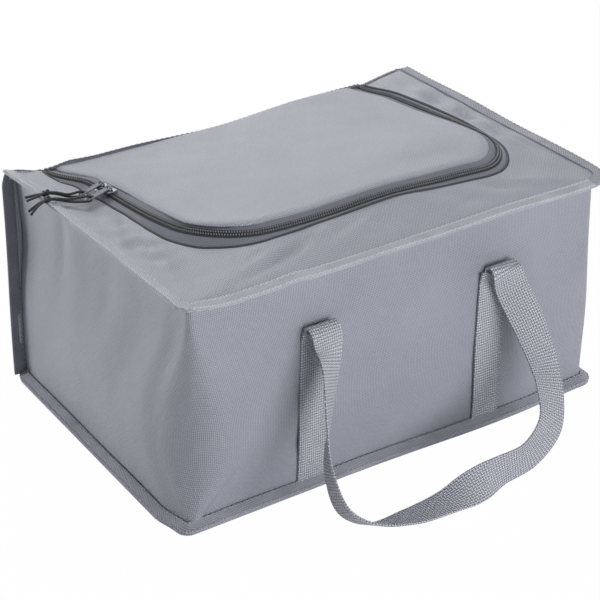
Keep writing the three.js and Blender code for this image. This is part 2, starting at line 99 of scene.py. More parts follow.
class Half(Enum):
    """The two halves of the zip: the one sewn to the bag and the one sewn to the lid."""

    BAG = 1.0
    LID = -1.0


def linear(hex_colour: str) -> tuple[float, float, float, float]:
    """Turns an sRGB hex colour into linear light.

    Args:
        hex_colour: a colour such as "#9a9da8".

    Returns:
        Red, green, blue and an alpha of one.
    """
    parts = np.array([int(hex_colour[k:k + 2], 16) for k in (1, 3, 5)]) / 255
    light = np.where(parts <= 0.04045, parts / 12.92, ((parts + 0.055) / 1.055) ** 2.4)
    return float(light[0]), float(light[1]), float(light[2]), 1.0


def ease(low: float, high: float, value: Array) -> Array:
    """A smooth step: nothing before low, one after high, with level ends between."""
    share = np.clip((np.asarray(value, float) - low) / (high - low), 0.0, 1.0)
    return share * share * (3 - 2 * share)


def hump(middle: float, width: float, value: Array) -> Array:
    """A bell of height one at middle, fallen to a third at width."""
    return np.exp(-((np.asarray(value, float) - middle) / width) ** 2)


def swells(x: Array, y: Array, rows: Sequence[Sequence[float]]) -> Array:
    """A sum of soft swells and dents, each a bell along x times a bell along y.

    Args:
        x: place along the bag, in metres.
        y: place across it, in metres.
        rows: for each swell its height, its middle and width along x, how much of y is added to x,
            which slants it, and its middle and width along y, all lengths in millimetres.

    Returns:
        The height at each place, in metres.
    """
    total = 0.0
    for high, x_middle, x_width, slant, y_middle, y_width in rows:
        along = hump(x_middle * MM, x_width * MM, x + slant * y)
        total = total + high * MM * along * hump(y_middle * MM, y_width * MM, y)
    return total


def ripples(first: Array, second: Array, seed: int, wave: float) -> Array:
    """Uneven cloth: a sum of nine plane waves in drawn directions, about one high.

    Args:
        first: place along the cloth, in metres.
        second: place across the cloth, in metres.
        seed: fixes the draw, so that every run gives the same cloth.
        wave: the middle wavelength, in metres.

    Returns:
        The height at each place.
    """
    count = 9
    draw = np.random.default_rng(seed)
    turn = draw.uniform(0, 2 * math.pi, count)
    shift = draw.uniform(0, 2 * math.pi, count)
    length = wave * draw.uniform(0.6, 1.6, count)
    across = first[..., None] * np.cos(turn) + second[..., None] * np.sin(turn)
    return np.sin(across * 2 * math.pi / length + shift).sum(-1) / 3


def unit(vectors: Array) -> Array:
    """Makes each vector one long."""
    return vectors / np.linalg.norm(vectors, axis=-1, keepdims=True)


def run_length(points: Array) -> Array:
    """The length run along a row of points, from nothing at the first."""
    steps = np.linalg.norm(np.diff(points, axis=0), axis=-1)
    return np.concatenate([[0.0], np.cumsum(steps)])


def joined_up(rows: Array, closed: bool) -> Array:
    """Rows that end with their first one again, where they close."""
    return np.concatenate([rows, rows[:1]]) if closed else rows


def read_along(spots: Array, run: Array, rows: Array) -> Array:
    """Reads rows that are known at each run, at spots between them."""
    return np.stack([np.interp(spots, run, column) for column in rows.T], 1)


def flat_places(along: Array, across: Array) -> Array:
    """Places on flat cloth: every length along with every length across."""
    return np.stack(np.meshgrid(along, across, indexing="ij"), -1)


def squared_oval(stations: int, size: Sequence[float], power: Sequence[float]) -> Array:
    """An oval pushed out towards its corners.

    Args:
        stations: points round it.
        size: its length and width.
        power: what its cosine and sine are raised to, less than one for squarer corners.

    Returns:
        The points, about the origin.
    """
    turn = np.linspace(0, 2 * math.pi, stations, endpoint=False)
    circle = np.stack([np.cos(turn), np.sin(turn)], 1)
    return np.sign(circle) * np.abs(circle) ** np.array(power) * np.array(size) / 2


def set_inputs(node: Node, inputs: dict) -> None:
    """Links each input, by name or number, to an output socket, or sets it to a value."""
    for key, value in inputs.items():
        if isinstance(value, Socket):
            node.id_data.links.new(value, node.inputs[key])
        else:
            node.inputs[key].default_value = value


def add_node(tree: Tree, kind: str, inputs: Optional[dict] = None, **settings) -> Node:
    """Adds one shader node with its settings and links.

    Args:
        tree: the node tree that gets it.
        kind: the node's type name, without the words that all of them start with.
        inputs: values or output sockets for its inputs, by name or number.
        settings: the node's own properties.

    Returns:
        The new node.
    """
    node = tree.nodes.new("ShaderNode" + kind)
    for key, value in settings.items():
        setattr(node, key, value)
    set_inputs(node, inputs or {})
    return node


@dataclass(frozen=True)
class Finish:
    """A real material and how its surface was made."""

    name: str
    light: str
    dark: str
    roughness: float

    def make(self) -> bpy.types.Material:
        """Returns the Blender material, built the first time it is asked for."""
        known = bpy.data.materials.get(self.name)
        if known is not None:
            return known
        material = bpy.data.materials.new(self.name)
        material.use_nodes = True
        tree = material.node_tree
        tree.nodes.clear()
        shader = add_node(tree, "BsdfPrincipled")
        add_node(tree, "OutputMaterial", {"Surface": shader.outputs["BSDF"]})
        self.wire(tree, shader)
        return material

    def wire(self, tree: Tree, shader: Node) -> None:
        """Adds the nodes that give this finish its colour, roughness and relief."""
        raise NotImplementedError

    def cloud(self, tree: Tree, size_mm: float, detail: float) -> Socket:
        """An even cloud of one real size over the piece, read from its own coordinates."""
        place = add_node(tree, "TexCoord").outputs["Object"]
        settings = {"Vector": place, "Scale": 1 / (size_mm * MM), "Detail": detail}
        return add_node(tree, "TexNoise", settings).outputs["Fac"]

    def dress(
        self, shader: Node, tone: Socket, dullness: Socket, swing: float, height: Socket, depth_mm: float
    ) -> None:
        """Colours the surface, lets its roughness swing and raises it.

        Args:
            shader: the material's shader.
            tone: where the colour lies, from dark to light.
            dullness: where the roughness lies in its swing.
            swing: how far the roughness goes to either side of its middle value.
            height: the relief, from nothing to one.
            depth_mm: the relief's depth.
        """
        tree = shader.id_data
        colours = {0: tone, 6: linear(self.dark), 7: linear(self.light)}
        mixed = add_node(tree, "Mix", colours, data_type="RGBA")
        limits = {"Value": dullness, "To Min": self.roughness - swing, "To Max": self.roughness + swing}
        rough = add_node(tree, "MapRange", limits)
        bump = add_node(tree, "Bump", {"Height": height, "Distance": depth_mm * MM})
        set_inputs(shader, {"Base Color": mixed.outputs[2], "Roughness": rough.outputs["Result"]})
        set_inputs(shader, {"Normal": bump.outputs["Normal"]})


@dataclass(frozen=True)
class Woven(Finish):
    """Polyester yarn in a plain weave: each thread shows as a small pillow, over one and under one.

    Real threads are about 0.4 mm apart. They are drawn coarser, because the picture is about
    1.1 mm to the pixel and finer ones would melt into one flat tone.
    """

    warp_mm: float
    weft_mm: float
    relief_mm: float
    contrast: float
    patch_mm: float
    coat: float = 0.0
    mottle: float = 0.45
    patchiness: float = 0.4
    yarn_mm: float = 1.1

    def wire(self, tree: Tree, shader: Node) -> None:
        """Plain weave: rounded warp or weft in each cell by a checker, with cloudy yarn tone.

        The tone is a sum of the thread, yarn and patch clouds about a middle level.
        """
        cut = add_node(tree, "UVMap", uv_map=CUT_MAP).outputs["UV"]
        scale = (1 / (self.warp_mm * MM), 1 / (self.weft_mm * MM), 1)
        cells = add_node(tree, "Mapping", {"Vector": cut, "Scale": scale}).outputs["Vector"]
        one_cell = {"Vector": cells, "Scale": ONE_BAND}
        warp = add_node(tree, "TexWave", one_cell, bands_direction="X").outputs["Fac"]
        weft = add_node(tree, "TexWave", one_cell, bands_direction="Y").outputs["Fac"]
        over = add_node(tree, "TexChecker", {"Vector": cells, "Scale": 1.0}).outputs["Fac"]
        thread = add_node(tree, "Mix", {0: over, 2: warp, 3: weft}).outputs[0]
        yarn = self.cloud(tree, self.yarn_mm, 1.0)
        patch = self.cloud(tree, self.patch_mm, 2.0)
        tone = 0.5 - 0.5 * (self.contrast + self.mottle + self.patchiness)
        for part, weight in ((thread, self.contrast), (yarn, self.mottle), (patch, self.patchiness)):
            terms = {0: part, 1: weight, 2: tone}
            tone = add_node(tree, "Math", terms, operation="MULTIPLY_ADD").outputs[0]
        self.dress(shader, tone, patch, 0.05, thread, self.relief_mm)
        set_inputs(shader, {"Coat Weight": self.coat, "Coat Roughness": 0.32})
        set_inputs(shader, {"Sheen Weight": 0.12, "Sheen Roughness": 0.45, "Specular IOR Level": 0.45})


@dataclass(frozen=True)
class Chevron(Finish):
    """Polyester seam tape woven in a herringbone: slanted ribs that meet along the tape's fold.

    The ribs are about 1 mm apart on the real tape and are drawn at 2.4 mm so that they show.
    """

    rib_mm: float = 2.4
    relief_mm: float = 0.3
    contrast: float = 0.55
    patchiness: float = 0.6
    patch_mm: float = 25.0

    def wire(self, tree: Tree, shader: Node) -> None:
        """Herringbone: bands along the tape, slanted one for one away from the fold."""
        cut = add_node(tree, "UVMap", uv_map=CUT_MAP).outputs["UV"]
        place = add_node(tree, "SeparateXYZ", {0: cut}).outputs
        away = add_node(tree, "Math", {0: place["Y"]}, operation="ABSOLUTE").outputs[0]
        slant = add_node(tree, "Math", {0: place["X"], 1: away}, operation="ADD").outputs[0]
        along = add_node(tree, "CombineXYZ", {"X": slant}).outputs["Vector"]
        one_rib = {"Vector": along, "Scale": ONE_BAND / (self.rib_mm * MM)}
        rib = add_node(tree, "TexWave", one_rib, bands_direction="X").outputs["Fac"]
        patch = self.cloud(tree, self.patch_mm, 3.0)
        tone = add_node(tree, "Math", {0: rib, 1: self.contrast}, operation="MULTIPLY").outputs[0]
        terms = {0: patch, 1: self.patchiness, 2: tone}
        tone = add_node(tree, "Math", terms, operation="MULTIPLY_ADD").outputs[0]
        self.dress(shader, tone, patch, 0.05, rib, self.relief_mm)
        set_inputs(shader, {"Sheen Weight": 0.1, "Specular IOR Level": 0.3})


@dataclass(frozen=True)
class Braided(Finish):
    """Polyester cord braided from round yarns: crossed diagonals with a dull shine on their backs."""

    pitch_mm: float = 1.6
    relief_mm: float = 0.2

    def wire(self, tree: Tree, shader: Node) -> None:
        """Braid: the higher of two sets of bands that run round the cord both ways."""
        cut = add_node(tree, "UVMap", uv_map=CUT_MAP).outputs["UV"]
        pitch = 1 / (self.pitch_mm * MM)
        bands = []
        for way in (1, -1):
            cells = add_node(tree, "Mapping", {"Vector": cut, "Scale": (pitch, way * pitch, 1)})
            one_yarn = {"Vector": cells.outputs["Vector"], "Scale": ONE_BAND}
            bands.append(add_node(tree, "TexWave", one_yarn, bands_direction="DIAGONAL").outputs["Fac"])
        braid = add_node(tree, "Math", {0: bands[0], 1: bands[1]}, operation="MAXIMUM").outputs[0]
        self.dress(shader, braid, braid, 0.08, braid, self.relief_mm)


@dataclass(frozen=True)
class Moulded(Finish):
    """Nylon or board drawn and pressed smooth: a low even gloss with a faint cloud in it."""

    grain_mm: float = 3.0
    relief_mm: float = 0.05

    def wire(self, tree: Tree, shader: Node) -> None:
        """A cloud of grain sets tone, gloss and a slight unevenness together."""
        grain = self.cloud(tree, self.grain_mm, 4.0)
        self.dress(shader, grain, grain, 0.08, grain, self.relief_mm)


@dataclass(frozen=True)
class PlatedZinc(Finish):
    """Zinc die casting with a gunmetal plating: a dark mirror, brushed by wear to a paler grey."""

    wear_mm: float = 2.5
    scuff_mm: float = 0.6
    relief_mm: float = 0.03

    def wire(self, tree: Tree, shader: Node) -> None:
        """Wear in two sizes of cloud lightens the plating and dulls it."""
        wear = self.cloud(tree, self.wear_mm, 6.0)
        scuffs = self.cloud(tree, self.scuff_mm, 2.0)
        self.dress(shader, wear, wear, 0.1, scuffs, self.relief_mm)
        set_inputs(shader, {"Metallic": 1.0})


@dataclass(frozen=True)
class Metallised(Finish):
    """Polyester film with an aluminium coat, bonded to thin foam: bright and covered in fine crinkles."""

    crinkle_mm: float = 14.0
    patch_mm: float = 6.0
    relief_mm: float = 1.2

    def wire(self, tree: Tree, shader: Node) -> None:
        """Facets between crinkle lines, with a smaller cloud over them."""
        place = add_node(tree, "TexCoord").outputs["Object"]
        one_facet = {"Vector": place, "Scale": 1 / (self.crinkle_mm * MM)}
        facet = add_node(tree, "TexVoronoi", one_facet, feature="SMOOTH_F1").outputs["Distance"]
        patch = self.cloud(tree, self.patch_mm, 4.0)
        height = add_node(tree, "Math", {0: facet, 1: patch}, operation="ADD").outputs[0]
        self.dress(shader, patch, patch, 0.08, height, self.relief_mm)
        set_inputs(shader, {"Metallic": 0.9})


CLOTH = Woven("woven_polyester_cloth", "#c5c9d5", "#858896", 0.45, 1.65, 1.65, 0.35, 1.0, 90.0, 0.06)
# Lit and shaded copies of one herringbone tape. This lighter copy on the front and left rim is painted
# light on the tape's upward face.
RIM_TAPE_PAINTED_LIGHT = Chevron("herringbone_rim_tape_painted_light", "#d6d9e1", "#8f929d", 0.6)
# A darker copy of the same tape: painted shade on the base seam and on the rim past the far right corner.
TAPE_PAINTED_SHADE = Chevron("herringbone_tape_painted_shade", "#c6c9d3", "#686b77", 0.65)
# A darker copy of the same tape: painted shade on the hinge flange.
HINGE_TAPE_PAINTED_SHADE = Chevron("herringbone_hinge_tape_painted_shade", "#989ba6", "#6c6f79", 0.65)
# A darker copy still of the same tape: painted shade on the back corner seams, which the bag itself shades.
BACK_TAPE_PAINTED_SHADE = Chevron("herringbone_back_tape_painted_shade", "#8d909b", "#50535d", 0.65)
WEBBING = Woven("woven_polyester_webbing", "#eceff6", "#8a8d9f", 0.55, 2.6, 2.2, 0.9, 1.3, 60.0)
# A near-black tube along the top frame's turned-under edge. The fold is real, but the tube's colour is
# painted shade: the dark of the crease between frame and zip tape.
EDGE_TUBE_PAINTED_SHADE = Moulded("dark_tube_painted_edge_shade", "#303238", "#1f2125", 0.7, 1.5)
ZIP_CLOTH = Woven("knitted_zip_tape", "#989ba7", "#6c6f7a", 0.7, 1.9, 1.9, 0.2, 0.6, 40.0)
# A darker copy of the zip tape: painted shade on the lid's half, under the lid's rolled edge.
LID_ZIP_TAPE_PAINTED_SHADE = Woven("knitted_zip_tape_painted_shade", "#868994", "#5a5d67", 0.7, 1.9, 1.9, 0.2, 0.6, 40.0)
COIL = Moulded("drawn_nylon_zip_coil", "#9a9da5", "#5b5e65", 0.4)
# Near-black strip under the coil turns: painted shade between and beside the turns.
COIL_BED_PAINTED_SHADE = Moulded("dark_woven_coil_bed", "#1b1c20", "#0c0d0f", 0.75, 1.0)
METAL = PlatedZinc("gunmetal_plated_zinc", "#7d7f86", "#3a3c42", 0.42)
CORD = Braided("braided_polyester_cord", "#1d1e21", "#070708", 0.6)
# Lit and shaded copies of one thread, following the tapes: this lightest one is painted light on the front
# and left rim.
THREAD_PAINTED_LIGHT = Moulded("twisted_polyester_thread", "#e8ecf5", "#cdd2de", 0.6, 1.0)
# A greyer copy of the same thread: painted shade on the base seam and the right rim. The handle legs'
# stitches use it too.
BASE_THREAD = Moulded("twisted_polyester_thread_pale", "#bfc2c9", "#9b9ea7", 0.6, 1.0)
# A darker copy of the same thread: painted shade on the back and hinge seams.
THREAD_PAINTED_SHADE = Moulded("twisted_polyester_thread_painted_shade", "#84878f", "#5d6068", 0.6, 1.0)
FOIL = Metallised("aluminised_polyester_film", "#dadde2", "#b4b7be", 0.3)
BOARD = Moulded("pressed_fibre_board", "#8d8a84", "#6f6c66", 0.8, 2.0)


@dataclass
class Skin:
    """A mesh in the making: points, and faces in groups that have one number of corners each."""

    points: list[Array] = field(default_factory=list)
    faces: list[Array] = field(default_factory=list)
    corners: list[Array] = field(default_factory=list)
    count: int = 0

    def add_grid(
        self,
        grid: Array,
        cut: Array,
        round_u: bool = False,
        round_v: bool = False,
        inside: Optional[Sequence[float]] = None,
        capped: bool = False,
    ) -> "Skin":
        """Adds a surface that is a grid of points.

        Each face joins four neighbours. The faces are turned to look away from a point inside,
        or, on a closed tube, outwards by the sign of the volume that they shut in.

        Args:
            grid: points, rows by columns by three.
            cut: the place of each point on the flat cloth in metres, with one row or column
                more where the grid closes on itself.
            round_u: the last row joins the first.
            round_v: the last column joins the first.
            inside: a point that the faces look away from.
            capped: the two end rings of a tube are closed.

        Returns:
            This mesh, so that it can be built at once.
        """
        rows, columns = grid.shape[:2]
        index = np.arange(rows * columns).reshape(rows, columns)
        index = np.vstack([index, index[:1]]) if round_u else index
        index = np.hstack([index, index[:, :1]]) if round_v else index
        quads = np.stack([index[:-1, :-1], index[1:, :-1], index[1:, 1:], index[:-1, 1:]], -1)
        quads = quads.reshape(-1, 4)
        spots = np.stack([cut[:-1, :-1], cut[1:, :-1], cut[1:, 1:], cut[:-1, 1:]], -2)
        spots = spots.reshape(-1, 4, 2)
        flat = grid.reshape(-1, 3)
        ring = flat[quads]
        facing = np.cross(ring[:, 2] - ring[:, 0], ring[:, 3] - ring[:, 1])
        origin = flat.mean(0) if inside is None else np.asarray(inside, float)
        turned = ((ring.mean(1) - origin) * facing).sum() < 0
        step = -1 if turned else 1
        self.points.append(flat)
        self.faces.append(quads[:, ::step] + self.count)
        self.corners.append(spots[:, ::step])
        if capped:
            for end, way in ((slice(None, 1), step), (slice(-1, None), -step)):
                self.faces.append(index[end, :-1][:, ::way] + self.count)
                self.corners.append(cut[end, :-1][:, ::way])
        self.count += len(flat)
        return self

    def add_copies(self, shape: "Skin", origins: Array, axes: Array) -> None:
        """Adds a shape many times.

        Args:
            shape: the shape, about its own origin.
            origins: where each copy goes.
            axes: each copy's three axes as rows, long as the copy is stretched.
        """
        local = np.concatenate(shape.points)
        total = len(origins)
        placed = origins[:, None] + local[None] @ axes
        shift = (np.arange(total) * len(local))[:, None, None] + self.count
        for faces, corners in zip(shape.faces, shape.corners):
            self.faces.append((faces[None] + shift).reshape(-1, faces.shape[1]))
            self.corners.append(np.tile(corners, (total, 1, 1)))
        self.points.append(placed.reshape(-1, 3))
        self.count += total * len(local)

    def build(
        self,
        name: str,
        finish: Finish,
        body: str,
        slot: str,
        stands_for: Sequence[str] = (),
        thickness: float = 0.0,
        fill: Optional[float] = None,
        fold: Optional[tuple[Array, Array]] = None,
    ) -> bpy.types.Object:
        """Makes the object, dresses it and joins it to its body, unless a fold is given.

        Args:
            name: the piece's name.
            finish: what it is made of.
            body: the body that carries it.
            slot: the record's material slot; not used.
            stands_for: the solids that it replaces.
            thickness: how thick a sheet is, laid on inwards.
            fill: how full a padded piece is, from slack to tight; not used.
            fold: two points, between which the piece should bend from the bag to its body. The points are
                not read: when given, the piece is not joined to its body and keeps its place, its transform
                baked in.

        Returns:
            The new object.
        """
        mesh = bpy.data.meshes.new(name)
        faces = [row for group in self.faces for row in group.tolist()]
        mesh.from_pydata(np.concatenate(self.points), [], faces)
        layer = mesh.uv_layers.new(name=CUT_MAP)
        layer.data.foreach_set("uv", np.concatenate([c.reshape(-1) for c in self.corners]))
        smooth = np.concatenate([np.full(len(f), f.shape[1] == 4) for f in self.faces])
        mesh.polygons.foreach_set("use_smooth", smooth)
        mesh.materials.append(finish.make())
        mesh.update()
        piece = bpy.data.objects.new(name, mesh)
        bpy.context.scene.collection.objects.link(piece)
        if thickness > 0:
            wall = piece.modifiers.new("cloth_thickness", "SOLIDIFY")
            wall.thickness = thickness
            wall.offset = -1
        if fold is None:
            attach(piece, body)
        else:
            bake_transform(piece)
        if stands_for:
            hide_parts(*stands_for)
        LOG.info("%s on %s: %d faces of %s", name, body, len(faces), finish.name)
        return piece


def sweep(centres: Array, across: Array, up: Array, profile: Array) -> Array:
    """Carries a profile along a path: centre + first number across + second number up.

    Args:
        centres: the path's points, n by 3.
        across: the profile's first axis at each point.
        up: the profile's second axis at each point.
        profile: the profile's points, m by 2, or n by m by 2 where it changes on the way.

    Returns:
        The surface, n by m by 3.
    """
    shape = np.broadcast_to(profile, (len(centres),) + profile.shape[-2:])
    return centres[:, None] + shape[..., :1] * across[:, None] + shape[..., 1:] * up[:, None]


def swept_cut(centres: Array, profile: Array, round_u: bool = False) -> Array:
    """Flat place of a swept closed profile: length along the path by length round the profile."""
    loop = joined_up(profile, True)
    return flat_places(run_length(joined_up(centres, round_u)), run_length(loop))


# A direction that no cord runs along, which sets how a tube's circle is turned.
TUBE_GUIDE = np.array([0.31, 0.52, 0.79])


def add_tube(skin: Skin, centres: Array, radius: float, sides: int, closed: bool = False) -> None:
    """A round cord along a path: a circle carried by axes square to the path.

    Args:
        skin: gets the tube.
        centres: the path.
        radius: the cord's radius.
        sides: points round the circle.
        closed: the path comes back to its start.
    """
    if closed:
        forward = unit(np.roll(centres, -1, 0) - np.roll(centres, 1, 0))
    else:
        forward = unit(np.gradient(centres, axis=0))
    across = unit(np.cross(forward, TUBE_GUIDE))
    up = np.cross(forward, across)
    turn = np.linspace(0, 2 * math.pi, sides, endpoint=False)
    circle = radius * np.stack([np.cos(turn), np.sin(turn)], 1)
    cut = swept_cut(centres, circle, closed)
    skin.add_grid(sweep(centres, across, up, circle), cut, closed, True, capped=not closed)


def thread_shape() -> Skin:
    """One stitch: a plump thread from -0.5 to 0.5 along its first axis, half a unit thick."""
    place = np.array([-0.5, -0.4, 0.0, 0.4, 0.5])
    girth = np.array([0.25, 0.42, 0.5, 0.42, 0.25])
    turn = np.linspace(0, 2 * math.pi, 6, endpoint=False)
    aside, above = girth[:, None] * np.cos(turn), girth[:, None] * np.sin(turn)
    rings = np.stack(np.broadcast_arrays(place[:, None], aside, above), -1)
    cut = flat_places(place, np.linspace(0, 1, 7)) * MM
    return Skin().add_grid(rings, cut, round_v=True, capped=True)


def add_stitches(
    skin: Skin,
    line: Array,
    normal: Array,
    length: float,
    pitch: float,
    girth: float,
    lean: float = 0.0,
) -> None:
    """Sews a row of stitches along a line, every second one leaning the other way.

    Args:
        skin: gets the stitches.
        line: points of the seam line, on the surface.
        normal: the surface's outward direction at each point.
        length: one stitch's length.
        pitch: from one stitch to the next.
        girth: the thread's thickness.
        lean: turn off the line in radians, by turns to one side and the other.
    """
    run = run_length(line)
    spots = np.arange(pitch / 2, run[-1], pitch)
    origin = read_along(spots, run, line)
    up = unit(read_along(spots, run, normal))
    forward = unit(read_along(spots + MM, run, line) - read_along(spots - MM, run, line))
    aside = unit(np.cross(up, forward))
    turn = lean * np.where(np.arange(len(spots)) % 2, 1.0, -1.0)[:, None]
    thread = forward * np.cos(turn) + aside * np.sin(turn)
    other = np.cross(up, thread)
    axes = np.stack([thread * length, other * girth, up * girth], 1)
    skin.add_copies(thread_shape(), origin, axes)


@dataclass(frozen=True)
class Path:
    """A line in plan, with the outward direction at each of its points."""

    points: Array
    out: Array

    def offset(self, distance: Array) -> Array:
        """The line moved outwards by a distance, or by one for each point."""
        return self.points + self.out * np.broadcast_to(distance, (len(self.out),))[:, None]


def turned_path(corners: Sequence[Sequence[float]], straights: Sequence[int], arc: int) -> Path:
    """Straight runs joined by quarter circles, anticlockwise, in plan.

    On a run the outward side is to the right of the way it goes. In a corner it swings from one
    run's side to the other's, and the point is the arc's middle plus radius times that direction.

    Args:
        corners: each corner's x, y and radius, with the two ends first and last.
        straights: stations on each run.
        arc: stations on each corner.

    Returns:
        The path.
    """
    place = np.array(corners, float)[:, :2]
    radius = np.array(corners, float)[:, 2]
    heading = unit(np.diff(place, axis=0))
    side = np.stack([heading[:, 1], -heading[:, 0]], 1)
    angle = np.linspace(0, math.pi / 2, arc, endpoint=False)[:, None]
    points, out = [], []
    for k, stations in enumerate(straights):
        start = place[k] + heading[k] * radius[k]
        end = place[k + 1] - heading[k] * radius[k + 1]
        share = np.linspace(0, 1, stations, endpoint=False)[:, None]
        points.append(start + (end - start) * share)
        out.append(np.repeat(side[k:k + 1], stations, 0))
        if k + 1 < len(straights):
            middle = end + heading[k + 1] * radius[k + 1]
            swing = side[k] * np.cos(angle) + heading[k] * np.sin(angle)
            points.append(middle + radius[k + 1] * swing)
            out.append(swing)
    points.append(place[-1:])
    out.append(side[-1:])
    return Path(np.concatenate(points), np.concatenate(out))


def open_path(left: float, right: float, front: float, back: float, near: float, far: float) -> Path:
    """A line from the back left round the front to the back right, with the shared stations.

    Args:
        left: where the left run lies.
        right: where the right run lies.
        front: where the front run lies.
        back: where both sides start and end.
        near: radius of the left front corner.
        far: radius of the right front corner.

    Returns:
        The path.
    """
    corners = ((left, back, 0.0), (left, front, near), (right, front, far), (right, back, 0.0))
    return turned_path(corners, (SIDE_STATIONS, FRONT_STATIONS, SIDE_STATIONS), CORNER_STATIONS)


def closed_path(
    half_x: float, front: float, back: float, radii: Sequence[float], straights: Sequence[int], arc: int
) -> Path:
    """A closed rectangle with round corners, anticlockwise from the back's middle.

    Args:
        half_x: half its length.
        front: where its front lies.
        back: where its back lies.
        radii: the corners' radii, from the back left.
        straights: stations on each run, of which the back has two.
        arc: stations on each corner.

    Returns:
        The path, which ends where it starts.
    """
    sides = ((-half_x, back), (-half_x, front), (half_x, front), (half_x, back))
    rounded = [(x, y, radius) for (x, y), radius in zip(sides, radii)]
    return turned_path([(0.0, back, 0.0), *rounded, (0.0, back, 0.0)], straights, arc)


def on_level(plan: Array, height: Array) -> Array:
    """Gives plan points a height each."""
    return np.concatenate([plan, np.broadcast_to(height, (len(plan),))[:, None]], 1)


def level(vectors: Array) -> Array:
    """Plan directions as directions in space."""
    return on_level(vectors, 0.0)


# From the zip's middle line to the inner edge of either half's coil.
ZIP_GROOVE = 0.8 * MM


@dataclass(frozen=True)
class Crease:
    """A long soft dent or swelling in a wall: a bell across it and a wider bell along it."""

    side: Side
    along_mm: float
    height_mm: float
    length_mm: float
    width_mm: float
    lean_deg: float
    depth_mm: float


